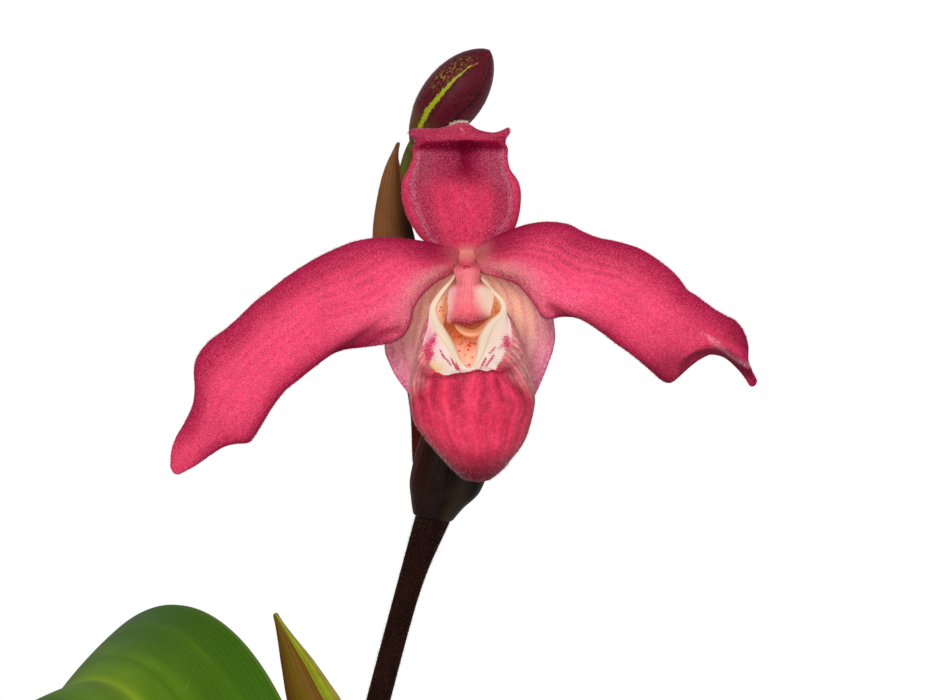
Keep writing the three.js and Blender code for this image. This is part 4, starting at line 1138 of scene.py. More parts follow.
def makePouch():
    form = pouchForm
    random = np.random.default_rng(form["seed"])
    knots, names = pouchRings()
    count = len(knots)
    u = np.linspace(0, 1, (count - 1) * form["rowsEach"] + 1)
    rings = np.einsum("ir,rcx->icx", knotShares(u, count), knots)
    place = u[:, None] * (count - 1) + 0 * rings[..., 0]     # which knot ring each row is at
    turn = np.arange(form["columns"])[None, :] / form["columns"] + 0 * place
    front = np.abs((turn + 0.5) % 1 - 0.5) * 2               # 0 at the front, 1 at the back
    foldAt, bandAt, innerAt = (names.index(name) for name in ("fold", "band", "inner"))
    x, z = rings[..., 0], rings[..., 2]
    # a gentle ribbing along the meridians of the outside
    normals = normalsOf(rings, wrap=True)
    ribbing = np.sin(2 * np.pi * 21 * turn + 1.5 * np.sin(4 * np.pi * u)[:, None])
    ribbing = ribbing * ramp(place, 2, 6) * ramp(place, foldAt + 0.2, foldAt - 1.5)
    rings = rings + normals * (0.07 * ribbing)[..., None]
    rings[..., 2] += 0.12 * np.sin(2 * np.pi * 17 * turn) * bump(place, foldAt, 0.8) * ramp(front, 0.6, 0.3)
    aside = ramp(front, 0.1, 0.3)
    paleFrom = foldAt - 4.5 + 3 * ramp(front, 0.6, 0.25)
    lobe = ramp(place, foldAt - 0.05 + 0.35 * aside, foldAt + 0.25 + 0.5 * aside)
    blotch = sum(bump(np.hypot(x - bx, z - bz), 0, radius) for bx, bz, radius in form["blotches"])
    blotch = np.maximum(0.85 * blotch, sum(nearLine(x, z, stroke) for stroke in form["strokes"]))
    # depth is painted shade: the inside darkens to brown towards its top, under the stigma
    marks = {
        "lobe": lobe, "inside": ramp(place, bandAt + 4.2, bandAt + 5.4),
        "band": ramp(place, bandAt - 0.3, bandAt + 0.5) * ramp(place, bandAt + 5.2, bandAt + 4.2)
        * ramp(front, 0.02, 0.12),
        "blotch": np.clip(blotch, 0, 1) * (place < innerAt),
        "depth": 0.85 * ramp(z, -15.5, -12.5) * ramp(np.abs(x - 0.4), 6.5, 4.5),
        "warm": 0.15 + 0.9 * bump(x, -6.2, 1.8) * bump(z, -16.6, 1.1)
        + 0.4 * bump(x, 2.5, 3) * ramp(z, -16, -9),
        "streak": 0.28 + 0.72 * ramp(place, foldAt - 4.5, foldAt - 1) + 0.75 * ramp(front, 0.2, 0.5),
        "blush": bump(x, -6.6, 1.6) * bump(z, -12.0, 2.4) + 0.5 * bump(x, 7.0, 1.4) * bump(z, -12.5, 3.0),
        "pale": 0.85 * ramp(place, paleFrom, foldAt - 0.9) * ramp(front, 0.2, 0.42),
        "deep": 0.95 * ramp(place, 5.6, 1.0) + 0.6 * bump(place, foldAt - 0.15, 0.3) * ramp(front, 0.5, 0.25),
    }
    part = shellOf(rings, np.array(form["toe"]), rings[-1].mean(axis=0), u, marks)
    makeFlowerPiece("pouch", part, lipTissue, "pouch")

    # hairs thicken towards the toe, and are short where the pouch faces the front
    density = ramp(place, foldAt + 0.2, foldAt - 0.4) * (0.5 + 0.7 * ramp(z, -24, -32))
    roots, out = scatter(part["rings"], part["ringNormals"], form["hairs"], random, density, wrap=True)
    directions = out + 0.5 * unit(random.normal(size=(len(roots), 3)))
    lengths = random.uniform(*form["hairLengths"], len(roots)) * (1 + 1.1 * ramp(roots[:, 2], -22, -31))
    lengths = lengths * (0.45 + 0.55 * ramp(-out[:, 1], 0.75, 0.3))
    makeFlowerHairs("pouch_hairs", [(roots, directions, lengths)], 0.013, whiteHair, "pouch", "pouch", random)


print("pouch")
makePouch()


# ---- the column

# Rows of the column and the shield before it, from the head down, each from its left to its right
columnForm = {
    "net": [
        [(-2.73, 3.2, 1.87), (-2.13, 2.9, 1.88), (-1.36, 2.7, 1.89), (-0.51, 2.6, 1.9), (0.26, 2.7, 1.89),
         (1.03, 2.9, 1.88), (1.63, 3.2, 1.87)],
        [(-1.9, 2.6, 0.7), (-1.5, 1.9, 0.74), (-1.0, 1.3, 0.78), (-0.51, 1.0, 0.79), (-0.02, 1.3, 0.78),
         (0.48, 1.9, 0.74), (0.9, 2.6, 0.7)],
        [(-1.6, 1.0, -0.36), (-1.3, 0.2, -0.34), (-0.95, -0.9, -0.32), (-0.51, -1.5, -0.3),
         (-0.07, -0.9, -0.32), (0.3, 0.2, -0.34), (0.6, 1.0, -0.36)],
        [(-2.55, -0.2, -1.43), (-1.95, -1.5, -1.35), (-1.27, -2.6, -1.29), (-0.46, -3.1, -1.26),
         (0.25, -2.6, -1.29), (0.93, -1.5, -1.35), (1.44, -0.2, -1.43)],
        [(-2.12, -1.8, -2.61), (-1.61, -3.1, -2.53), (-1.02, -4.0, -2.47), (-0.38, -4.4, -2.44),
         (0.25, -4.0, -2.47), (0.84, -3.1, -2.53), (1.27, -1.8, -2.61)],
        [(-2.12, -2.6, -3.66), (-1.61, -4.0, -3.57), (-1.02, -4.9, -3.51), (-0.34, -5.3, -3.48),
         (0.38, -4.9, -3.51), (1.01, -4.0, -3.57), (1.49, -2.6, -3.66)],
        [(-3.38, -3.4, -4.54), (-2.28, -4.6, -4.25), (-1.35, -5.6, -4.19), (-0.34, -6.0, -4.24),
         (0.67, -5.6, -4.19), (1.77, -4.6, -4.03), (3.04, -3.2, -4.21)],
        [(-3.72, -4.2, -5.5), (-2.7, -5.2, -5.34), (-1.55, -6.1, -5.2), (-0.34, -6.6, -5.16),
         (0.83, -6.1, -5.11), (2.27, -5.0, -4.94), (3.88, -3.5, -4.96)],
        [(-3.88, -4.7, -6.73), (-2.82, -5.8, -6.48), (-1.64, -6.8, -6.41), (-0.34, -7.2, -6.38),
         (1.0, -6.7, -6.33), (2.69, -5.3, -6.18), (4.81, -3.7, -6.04)],
        [(-4.0, -5.0, -8.15), (-2.9, -6.2, -7.92), (-1.64, -7.2, -7.73), (-0.34, -7.7, -7.61),
         (1.17, -7.1, -7.57), (3.11, -5.6, -7.43), (5.57, -3.9, -7.21)],
        [(-3.92, -5.1, -9.41), (-2.87, -6.3, -9.15), (-1.64, -7.3, -8.98), (-0.26, -7.8, -9.11),
         (1.22, -7.2, -8.82), (3.28, -5.7, -8.4), (5.74, -4.1, -7.96)],
        [(-3.46, -5.0, -10.01), (-2.65, -6.1, -9.84), (-1.52, -7.0, -9.99), (-0.18, -7.5, -10.2),
         (1.25, -7.0, -9.8), (3.03, -5.7, -9.11), (4.72, -4.5, -8.52)],
    ],
    "stigma": [(-2.45, -6.0, -10.2), (-1.4, -7.0, -11.0), (-0.2, -7.5, -11.5), (1.1, -7.5, -11.4),
               (2.5, -7.0, -10.4), (3.8, -6.0, -8.9)],
    "bead": (-0.58, -2.95, -0.75), "beadSize": (0.72, 0.6, 0.42),
    "thickness": 0.9, "columns": 72, "rowsEach": 10,
    "hairs": 900, "hairLengths": (0.12, 0.25), "bristles": 500, "bristleLengths": (0.12, 0.3), "seed": 240,
}


# a glossy bead at the column's head: an ellipsoid with three slight bulges round it
def beadOf(place, size):
    rise = np.pi * np.linspace(0.03, 0.97, 24)[:, None]
    spin = turnSteps(36)[None, :]
    ball = np.stack([np.sin(rise) * np.cos(spin), np.sin(rise) * np.sin(spin),
                     np.cos(rise) + 0 * spin], axis=-1)
    ball = ball * size * (1 + 0.12 * np.sin(3 * spin + 1) * np.sin(rise))[..., None]
    top = np.array([0, 0, size[2]])
    return shellOf(ball + place, place + top, place - top, np.linspace(0, 1, 24), {"wine": 1.0})


# the stigma is a crescent that peeps out below the shield
def stigmaOf(line):
    s = np.linspace(0, 1, 60)
    path = curveAt(line, s)
    size = 0.1 + 0.62 * np.sqrt(np.clip(1 - (2 * s - 1) ** 2, 0, 1))
    rings = ringsRound(path, size, size * 0.9, 28)
    low = ramp(rings[..., 2] - path[:, None, 2], 0.25, -0.2)
    end = np.array([0.05, 0, 0])
    return shellOf(rings, path[0] - end, path[-1] + end, s, {"orange": 0.85 * (1 - low), "lip": 0.9 * low})


# the column and its shield are the net's own smooth surface, thickened
def makeColumn():
    form = columnForm
    random = np.random.default_rng(form["seed"])
    net = np.array(form["net"])
    u = steps((len(net) - 1) * form["rowsEach"], 0.1)
    v = steps(form["columns"], 0.3)
    points = netSurface(net, u, v)
    along, across = np.broadcast_arrays(u[:, None], v[None, :])
    t = 2 * across - 1                               # -1 at the left edge, 1 at the right one
    aside = np.abs(t)
    shield = ramp(along, 0.5, 0.6)
    low = ramp(along, 0.68, 0.92)
    leftSide = ramp(t, -0.38 - 0.2 * low, -0.84)
    rightSide = ramp(t, 0.08 + 0.2 * low, 0.62 + 0.1 * low)
    flanks = bump(along, 0.42, 0.07) * ramp(aside, 0.6, 0.95)
    streak = ramp(along, 0.3, 0.4) * ramp(along, 0.85, 0.6) * ramp(aside, 0.9, 0.4)
    marks = {
        "cream": np.maximum(0.95 * shield * rightSide, 0.5 * flanks), "pale": 0.92 * shield * leftSide,
        "rose": 0.95 * shield * bump(t, -0.1, 0.42) * ramp(along, 0.6, 0.85),
        "dark": 0.85 * ramp(along, 0.8, 0.98) * ramp(t, -0.95, -0.6) * ramp(t, 0.75, 0.25),
        "wine": 0.7 * bump(along, 0.225, 0.05) * ramp(aside, 1.0, 0.3),
        "streak": streak * (1 - shield * rightSide), "throat": ramp(along, 0.17, 0.11),
    }
    thickness = form["thickness"] * (1 + 0.3 * ramp(along, 0.5, 0.3))
    part = joined([bladeOf(points, thickness, u, v, marks),
                   beadOf(np.array(form["bead"]), np.array(form["beadSize"])), stigmaOf(form["stigma"])])
    makeFlowerPiece("column", part, columnTissue, "column")

    # pale hairs on the flanks, and dark bristles along the shield's lower edge
    normals = frontNormalsOf(points)
    density = shield * (leftSide + 0.3) + 0.02
    pale = furOn(points + 0.5 * normals, normals, form["hairs"], random, 0.5, form["hairLengths"], density)
    makeFlowerHairs("column_hairs", [pale], 0.016, whiteHair, "column", "column", random)
    density = ramp(along, 0.84, 0.97) * ramp(t, -0.8, -0.4) * ramp(t, 0.8, 0.4) + leastDensity
    dark = furOn(points + 0.45 * normals, normals, form["bristles"], random, 0.4, form["bristleLengths"],
                 density, towards=np.array([0, -0.1, -0.9]))
    makeFlowerHairs("column_bristles", [dark], 0.016, darkHair, "column", "column", random)


print("column")
makeColumn()


# ---- stem, rachis, ovary and bud

nodePoint = (-6.1, 9.5, -43.9)
stemForm = {
    "path": [(0, 0, 96.3), (0.6, -0.2, 124), (3.6, -1, 158), (9.2, -2.4, 192)],
    "upperPath": [(-23.2, 9.6, -105), (-16, 9, -77), (-10.6, 9, -57), nodePoint],
    "radius": [2.6, 2.4, 2.3, 2.2, 2.1, 2.05, 2.15, 3.1], "rows": 420, "columns": 48, "rounding": 0.006,
    "hairs": 26000, "hairLengths": (0.25, 0.55), "hairRadius": 0.013, "seed": 301,
}


# fur on a shell
def hairsOn(name, part, form, material):
    random = np.random.default_rng(form["seed"])
    fur = furOn(part["rings"], part["ringNormals"], form["hairs"], random, 0.45, form["hairLengths"],
                wrap=True)
    makePiece(name + "_hairs", hairsAt(*fur, form["hairRadius"], random), material, name)


# radii that close towards both ends of a tube, round over a share of its length
def capped(radius, rounding):
    u = np.linspace(0, 1, len(radius))
    near = np.minimum(np.minimum(u, 1 - u) / rounding, 1)
    return radius * np.sqrt(1 - (1 - near) ** 2 * 0.98)


# the stem is slightly angular, and thicker at the joint half way up
def makeStem():
    form = stemForm
    knots = [np.array(p, float) for p in form["path"]]
    knots += [np.array(p) + flowerMiddle for p in form["upperPath"]]
    u = np.linspace(0, 1, form["rows"])
    path = curveAt(knots, u)
    radius = capped(valuesAt(form["radius"], u)[:, 0] + 0.25 * bump(u, 0.5, 0.012), form["rounding"])
    rings = ringsRound(path, radius, radius, form["columns"],
                       shape=lambda a: 1 + 0.018 * np.cos(5 * a) + 0.012 * np.cos(8 * a + 1))
    part = shellOf(rings, path[0], path[-1], u)
    makePiece("stem", part, stemSkin, "stem")
    hairsOn("stem", part, form, stemHair)


rachisForm = {
    "path": [(-7.3, 10.7, -44.9), (-7.7, 12.8, -41), (-8.5, 14.4, -36), (-9, 16, -27),
             (-11, 17.8, -15), (-13, 18.6, -5), (-13.3, 18.6, 3.6)],
    "radius": [1, 1.3, 1.6, 1.6, 1.6, 1.5, 1.3], "ribs": 5, "ribDepth": 0.03,
    "hairs": 2600, "hairLengths": (0.2, 0.4), "hairRadius": 0.014, "seed": 2910,
}
ovaryForm = {
    "path": [(-5.6, 8.8, -44.8), (-4.6, 9.8, -40), (-3.2, 11.4, -30), (-2, 12.4, -20), (-1, 11.8, -11),
             (-0.6, 9.2, -4.6), (-0.4, 6, -0.9), (-0.4, 3.2, -0.1)],
    "radius": [1, 1.6, 2.1, 2.4, 2.5, 2.5, 2.4, 2], "ribs": 6, "ribDepth": 0.07,
    "hairs": 3800, "hairLengths": (0.2, 0.4), "hairRadius": 0.014, "seed": 4110,
}


branchSteps = {"rows": 200, "columns": 48, "rounding": 0.02}


# at an angle a the radius is radius(u) (1 + ribDepth cos(ribs a))
def makeBranch(name, form, material):
    u = np.linspace(0, 1, branchSteps["rows"])
    path = curveAt(form["path"], u) + flowerMiddle
    radius = capped(valuesAt(form["radius"], u)[:, 0], branchSteps["rounding"])
    rings = ringsRound(path, radius, radius, branchSteps["columns"],
                       shape=lambda a: 1 + form["ribDepth"] * np.cos(form["ribs"] * a))
    part = shellOf(rings, path[0], path[-1], u)
    makePiece(name, part, material, name)
    hairsOn(name, part, form, tanHair)


budForm = {
    "path": [(-13.2, 18.7, 4.2), (-12.6, 18.5, 9.4), (-11.6, 17.3, 14.6), (-9.9, 15.4, 19.5),
             (-6.6, 15, 23.6), (-3.2, 14.5, 27.7), (0.1, 14, 31.9), (3.4, 13.6, 36)],
    "stalk": 0.95, "bodyFrom": 0.43, "radius": 5.3, "foot": 0.71, "tip": 0.68, "rows": 260, "columns": 120,
    # at these places along it, the angles of the green seam and the dark one
    "seamsAt": [0.53, 0.61, 0.7, 0.81, 0.89, 0.93, 0.97],
    "greenSeam": [1.89, 1.96, 1.93, 1.9, 1.8, 1.58, 1.2],
    "darkSeam": [1.1, 1.05, 1, 0.84, 0.83, 0.86, 0.9],
    "hairs": 5000, "hairLengths": (0.1, 0.2), "hairRadius": 0.016, "seed": 330,
}


# r = radius (t / m)^foot ((1 - t) / (1 - m))^tip along the body, widest at m = foot / (foot + tip);
# the skin is drawn in at its seams by depth exp(-((angle - seam) / width)^2)
def makeBud():
    form = budForm
    u = np.linspace(0, 1, form["rows"])
    path = curveAt(form["path"], u) + flowerMiddle
    t = np.clip((u - form["bodyFrom"]) / (1 - form["bodyFrom"]), 0, 1)
    widest = form["foot"] / (form["foot"] + form["tip"])
    body = form["radius"] * (t / widest) ** form["foot"] * ((1 - t) / (1 - widest)) ** form["tip"]
    radius = (body**4 + (form["stalk"] * (t < 0.5)) ** 4) ** 0.25
    radius[-1] = 0.05
    length, angle = np.broadcast_arrays(u[:, None], turnSteps(form["columns"])[None, :])
    swollen = ramp(length, 0.48, 0.58)

    def along(seam, width):
        gap = (angle - seam + np.pi) % (2 * np.pi) - np.pi
        return np.exp(-(gap / width) ** 2)

    def near(seam, width):
        return along(seam, width) * swollen

    green = np.interp(u, form["seamsAt"], form["greenSeam"])[:, None]
    dark = np.interp(u, form["seamsAt"], form["darkSeam"])[:, None]
    groove = near(green - 0.02, 0.07) + near(dark, 0.05) + near(dark + 3.1, 0.06)
    swell = 1 - 0.05 * groove + 0.03 * near(1.5, 0.6) + 0.02 * near(4.2, 0.8)
    outward = ringsRound(path, radius, radius, form["columns"]) - path[:, None]
    rings = path[:, None] + outward * swell[..., None]
    seam = along(green, 0.1 * ramp(length, 0.9, 0.55) + 0.035)
    marks = {
        "seam": seam * ramp(length, 0.47, 0.52) * ramp(length, 0.965, 0.9),
        "groove": 0.7 * near(dark, 0.05) + 0.5 * near(green - 0.2, 0.03),
        "fleck": 0.5 * near(green + 0.42, 0.26) * ramp(length, 0.66, 0.78) * ramp(length, 0.96, 0.88),
        "base": ramp(length, 0.62, 0.52) * ramp(length, 0.44, 0.48), "stalk": ramp(length, 0.47, 0.43),
    }
    part = shellOf(rings, path[0], path[-1] + 0.3 * unit(path[-1] - path[-2]), u, marks)
    makePiece("bud", part, budSkin, "bud")
    hairsOn("bud", part, form, paleHair)


print("stem and bud")
makeStem()
makeBranch("rachis", rachisForm, rachisSkin)
makeBranch("ovary", ovaryForm, ovarySkin)
makeBud()


# ---- bracts

stemBract = {
    "path": [(-21.7, 9.5, -99), (-20.8, 9.4, -94.5), (-20.2, 9.4, -89), (-23.2, 9.5, -83),
             (-26.7, 9.6, -77.5), (-29.7, 9.6, -70.8), (-31.9, 9.4, -66), (-33.9, 9.2, -61.8)],
    "facing": (-0.35, -1, 0.1), "radius": [2.9, 3.3, 4.5, 5.2, 4.8, 3.1, 1.7, 0.5],
    "halfAngle": [168, 150, 84, 55, 68, 66, 52, 30], "keel": [0, 0.2, 0.5, 0.9, 1, 0.8, 0.4, 0],
    "flatten": [1, 1], "hairs": 1600, "hairLength": 0.2, "seed": 401,
}
flowerBract = {
    "path": [(-6.5, 9.6, -45.1), (-5.7, 9.8, -42.6), (-4.3, 9.9, -39.3), (-2.9, 10.2, -34),
             (-2.2, 10.3, -28), (-1.8, 9.9, -22), (-1.6, 9.4, -17)],
    "facing": (0.12, -1, 0), "straight": True, "radius": [3.15, 4.3, 5.9, 6.2, 4.9, 3.2, 0.6],
    "halfAngle": [170, 128, 104, 92, 80, 60, 20], "keel": [0, 0.2, 0.5, 0.6, 0.5, 0.2, 0],
    "flatten": [1, 0.9, 0.75, 0.7, 0.7, 0.7, 0.7], "hairs": 900, "hairLength": 0.15, "seed": 402,
}
upperBract = {
    "path": [(-11.6, 18.6, -8), (-12.6, 18.6, -2.6), (-13.2, 18.6, 3.4), (-13.2, 18.5, 9.6),
             (-12.8, 18.3, 15), (-12.4, 18.1, 20)],
    "facing": (-0.75, -0.8, 0), "radius": [3.8, 3.6, 3.3, 2.6, 1.8, 0.15],
    "halfAngle": [165, 145, 120, 90, 66, 20], "keel": [0, 0.2, 0.5, 0.5, 0.3, 0], "flatten": [1, 1],
    "hairs": 3400, "hairLength": 0.25, "seed": 403,
}
bractForm = {"thickness": 0.6, "rows": 130, "columns": 64}


# A bract wraps its stem: round the path at the angle a = halfAngle t, it stands off by
# radius + keel (1 - sqrt(t^2 + soft)), and its forward part is times flatten
def makeBract(name, bract, material, slotName):
    random = np.random.default_rng(bract["seed"])
    u, v = steps(bractForm["rows"], 0.2), steps(bractForm["columns"], 0.3)
    path = curveAt(bract["path"], u)
    tangent = unit(np.gradient(path, axis=0))
    if bract.get("straight"):
        tangent = unit(np.broadcast_to(path[-1] - path[0], path.shape))
    across = unit(np.cross(tangent, np.array(bract["facing"], float)))
    forward = unit(np.cross(across, tangent))
    keys = ("radius", "halfAngle", "keel", "flatten")
    radius, halfAngle, keel, flatten = (valuesAt(bract[key], u) for key in keys)
    t = 2 * v[None, :] - 1
    angle = np.radians(halfAngle) * t
    reach = radius + keel * (1 - np.sqrt(t * t + 0.004))
    reach = reach + 0.05 * np.sin(9 * np.pi * t) * ramp(u[:, None], 0.2, 0.5)
    middle = path[:, None] + (reach * np.sin(angle))[..., None] * across[:, None]
    middle = middle + (flatten * reach * np.cos(angle))[..., None] * forward[:, None]
    part = bladeOf(middle, bractForm["thickness"], u, v, {"edge": toEdge(middle, 1)})
    makeFlowerPiece(name, part, material, name)
    hairs = []
    for surface, sign in (("front", 1), ("rear", -1)):
        roots, out = scatter(part[surface], part["frontNormals"] * sign, bract["hairs"] // 2, random)
        hairs.append((roots, out + 0.6 * unit(random.normal(size=(len(roots), 3)))))
    roots, directions = (np.concatenate(column) for column in zip(*hairs))
    lengths = random.uniform(0.5, 1.0, len(roots)) * bract["hairLength"]
    makeFlowerHairs(name + "_hairs", [(roots, directions, lengths)], 0.02, tanHair, slotName, name, random)


print("bracts")
makeBract("stem_bract", stemBract, greenBract, "bract_green")
makeBract("flower_bract", flowerBract, darkBract, "bract_dark")
makeBract("upper_bract", upperBract, brownBract, "bract_brown")


# ---- leaves

leafFan = {
    "direction": 135, "foot": 96.3, "thickness": 1.1, "opening": 0.34, "sheathShare": 0.86,
    "rows": 220, "columns": 72, "rib": 1.0, "tipFrom": 0.86,
    "leaves": [
        {"length": 225, "halfWidth": 21, "turn": -9, "roll": 5, "base": 12.6, "opens": 0,
         "rise": 20, "bend": 96, "from": -0.1, "to": 0.8},
        {"length": 236, "halfWidth": 22, "turn": -8, "roll": -6, "base": 11, "opens": 0.03,
         "rise": 16, "bend": 96, "from": -0.05, "to": 0.85},
        {"length": 248, "halfWidth": 23, "turn": 10, "roll": -8, "base": 9.5, "opens": 0.08,
         "rise": 11, "bend": 104, "from": 0, "to": 0.85},
        {"length": 240, "halfWidth": 22, "turn": 8, "roll": 7, "base": 8.1, "opens": 0.16,
         "rise": 8, "bend": 102, "from": 0.1, "to": 0.95},
        {"length": 264, "halfWidth": 22.5, "turn": -11, "roll": -27, "base": 6.5, "opens": 0.15,
         "rise": 2, "bend": 150, "from": 0.34, "to": 0.9},
        {"length": 150, "halfWidth": 15, "turn": -9, "roll": 4, "base": 5, "opens": 0.25,
         "rise": 3, "bend": 40, "from": 0.25, "to": 1}],
}


# The midrib's slope from the vertical is rise + bend ramp(u, from, to). Across, at a distance a
# from it, the blade stands at x = h tanh(a / h) sideways and sqrt(a^2 - x^2) up, where h is half
# the fold's width, and the open wings droop again by 0.3 |a| - 0.34 a^2 / halfWidth.
def makeLeaf(number, leaf, side):
    fan = leafFan
    u, v = steps(fan["rows"], 0.15), steps(fan["columns"], 0.25)
    heading = np.radians(fan["direction"] + leaf["turn"] + (180 if side < 0 else 0))
    direction = np.array([np.cos(heading), np.sin(heading), 0])
    across = np.array([-direction[1], direction[0], 0])
    upright = np.array([0, 0, 1.0])

    def slopeAt(place):
        return np.radians(leaf["rise"] + leaf["bend"] * ramp(place, leaf["from"], leaf["to"]))

    fineSteps = 1200                                 # the midrib is summed up in short strides
    fineU = np.linspace(0, 1, fineSteps + 1)
    slope = slopeAt((fineU[1:] + fineU[:-1]) / 2)
    stride = leaf["length"] / fineSteps
    outX = leaf["base"] + np.concatenate([[0], np.cumsum(np.sin(slope))]) * stride
    upZ = fan["foot"] + np.concatenate([[0], np.cumsum(np.cos(slope))]) * stride
    path = np.interp(u, fineU, outX)[:, None] * direction + np.interp(u, fineU, upZ)[:, None] * upright
    slope = slopeAt(u)[:, None]
    up = -np.cos(slope) * direction + np.sin(slope) * upright
    opened = ramp(u, leaf["opens"], leaf["opens"] + fan["opening"])[:, None]
    sheath = fan["sheathShare"] * np.sqrt(2) * leaf["base"] / leaf["halfWidth"]
    nearTip = np.clip((u - fan["tipFrom"]) / (1 - fan["tipFrom"]), 0, 1)
    taper = np.sqrt(1 - 0.985 * ramp(u, 0.5, 1.06) ** 2) * np.sqrt(1 - 0.999 * nearTip ** 2.2)
    t = 2 * v[None, :] - 1
    wing = t * leaf["halfWidth"] * blend(sheath, 1, opened) * taper[:, None]
    fold = leaf["base"] + 90 * opened ** 1.6
    x = fold * np.tanh(wing / fold)
    lift = np.sqrt(np.maximum(wing**2 - x**2, 0))
    lift = lift + opened * (0.3 * np.abs(wing) - 0.34 * wing**2 / leaf["halfWidth"])
    lift = lift - 0.5 * opened * bump(wing, 0, 1.6)
    # a slow, slight wave along the edges
    lift = lift + 0.5 * opened * t**2 * np.sin(9 * u[:, None] + 2 * number + 1.5 * np.sign(t))
    roll = np.radians(leaf["roll"]) * ramp(u, 0.15, 0.6)[:, None]
    sideways = x * np.cos(roll) - lift * np.sin(roll)
    upwards = x * np.sin(roll) + lift * np.cos(roll)
    middle = path[:, None] + sideways[..., None] * across + upwards[..., None] * up[:, None]
    thickness = fan["thickness"] + fan["rib"] * bump(wing, 0, 1.3) * ramp(u, 1.0, 0.6)[:, None]
    marks = {"rib": 0.7 * bump(wing, 0, 1.1) + 0.25 * bump(wing, 0, 5),
             "edge": np.abs(np.abs(wing) - np.abs(wing[:, :1])), "outer": np.abs(t)}
    part = bladeOf(middle, thickness, u, v, marks)
    makePiece(f"leaf_{number}", part, leafBlade, f"leaf_{number}")


print("leaves")
for order, leaf in enumerate(leafFan["leaves"]):
    makeLeaf(order + 1, leaf, -1 if order % 2 else 1)


# ---- pot, bark and crown

potForm = {
    "foot": 43, "rim": 64, "height": 112, "band": 22, "step": 3.5, "wall": 5, "floor": 7,
    "holes": 5, "holeRadius": 5, "holeRing": 24, "columns": 160,
}


# the radius of the pot's outside at a height below its band
def potWall(z):
    form = potForm
    return blend(form["foot"], form["rim"] - form["step"], z / (form["height"] - form["band"]))


# A lathe form: each point (r, z) of the outline is carried round the pot's axis. It is closed at
# the axis, at the heights of its first and its last point.
def latheOf(outline, columns, marksAt, shape=None, repeat=3):
    outline = np.array(outline, float)
    between = np.linspace(0, 1, repeat, endpoint=False)[:, None]
    fine = np.concatenate([blend(a, b, between) for a, b in zip(outline, outline[1:])] + [outline[-1:]])
    angle = turnSteps(columns)
    radius, height = fine[:, :1], fine[:, 1:]
    rings = np.stack([radius * np.cos(angle), radius * np.sin(angle), height + 0 * angle], axis=-1)
    if shape is not None:
        rings[..., :2] *= shape(angle, rings[..., 2])[..., None]
    poles = outline[[0, -1], 1][:, None] * [0, 0, 1.0]
    return shellOf(rings, *poles, np.linspace(0, 1, len(rings)), marksAt(rings[..., 2]))


# The pot's outline goes up outside, over the rim and down inside. The drain holes are cut out of
# its floor by a boolean before the piece is kept.
def makePot():
    form = potForm
    band = form["height"] - form["band"]
    rimR, top, wall, foot, floor = (form[key] for key in ("rim", "height", "wall", "foot", "floor"))
    outline = [(2, 0), (foot - 1.2, 0), (foot - 0.35, 0.35), (foot, 1.2)]
    outline += [(potWall(z), z) for z in np.linspace(6, band - 1.2, 9)]
    outline += [(potWall(band) + 0.3, band - 0.3), (rimR - 1.2, band + 0.4), (rimR - 0.3, band + 1.2),
                (rimR, band + 2.6), (rimR + 0.5, band + 9), (rimR + 0.9, top - 3), (rimR + 0.7, top - 1.4),
                (rimR - 0.2, top - 0.4), (rimR - 1.4, top), (rimR - wall + 1.2, top - 0.1),
                (rimR - wall, top - 0.7), (rimR - wall - 1, top - 2.2), (potWall(band) - wall, band - 1)]
    outline += [(potWall(z) - wall, z) for z in np.linspace(band - 10, floor + 4, 7)]
    outline += [(potWall(floor) - wall - 2, floor), (2, floor)]
    wobble = np.random.default_rng(500).normal(size=(4, 2))

    def shape(angle, z):                             # hand-made, so not quite round
        sway = sum(a * np.cos((k + 2) * angle + 3 * b) for k, (a, b) in enumerate(wobble))
        return 1 + 0.0008 * sway * np.sin(z / 17)

    part = latheOf(outline, form["columns"], lambda z: {"height": z}, shape)
    pot = makePiece("pot", part, terracotta, "pot")
    cutters = []
    for turn in turnSteps(form["holes"]):
        place = form["holeRing"] * metre * np.array([np.cos(turn), np.sin(turn), 0])
        bpy.ops.mesh.primitive_cylinder_add(vertices=40, radius=form["holeRadius"] * metre, depth=0.04,
                                            location=place)
        cutters.append(bpy.context.active_object)
        cut = pot.modifiers.new("hole", "BOOLEAN")
        cut.operation, cut.object, cut.solver = "DIFFERENCE", cutters[-1], "EXACT"
    evaluated = pot.evaluated_get(bpy.context.evaluated_depsgraph_get())
    holed = bpy.data.meshes.new_from_object(evaluated)
    pot.modifiers.clear()
    pot.data = holed
    for cutter in cutters:
        bpy.data.objects.remove(cutter)


barkForm = {"top": 97, "chips": 430, "size": (15, 9, 3.6), "sizes": (0.45, 1.05), "clear": 17, "seed": 7}


# one chip of bark is a rounded, uneven box: a grid on a sphere pushed towards a box by the power
# 0.45 of its coordinates, then roughened; it comes with its two poles
def chipRings(random, size):
    rows, columns = 5, 8
    latitude = np.linspace(-0.42, 0.42, rows)[:, None] * np.pi
    angle = 2 * np.pi * (np.arange(columns)[None, :] + 0.5) / columns
    ball = np.stack([np.cos(latitude) * np.cos(angle), np.cos(latitude) * np.sin(angle),
                     np.sin(latitude) + 0 * angle], axis=-1)
    ball = np.sign(ball) * np.abs(ball) ** 0.45
    ball = ball * (1 + 0.16 * random.normal(size=(rows, columns, 1))) * size / 2
    return ball, np.array([[0, 0, -size[2] / 2], [0, 0, size[2] / 2]])


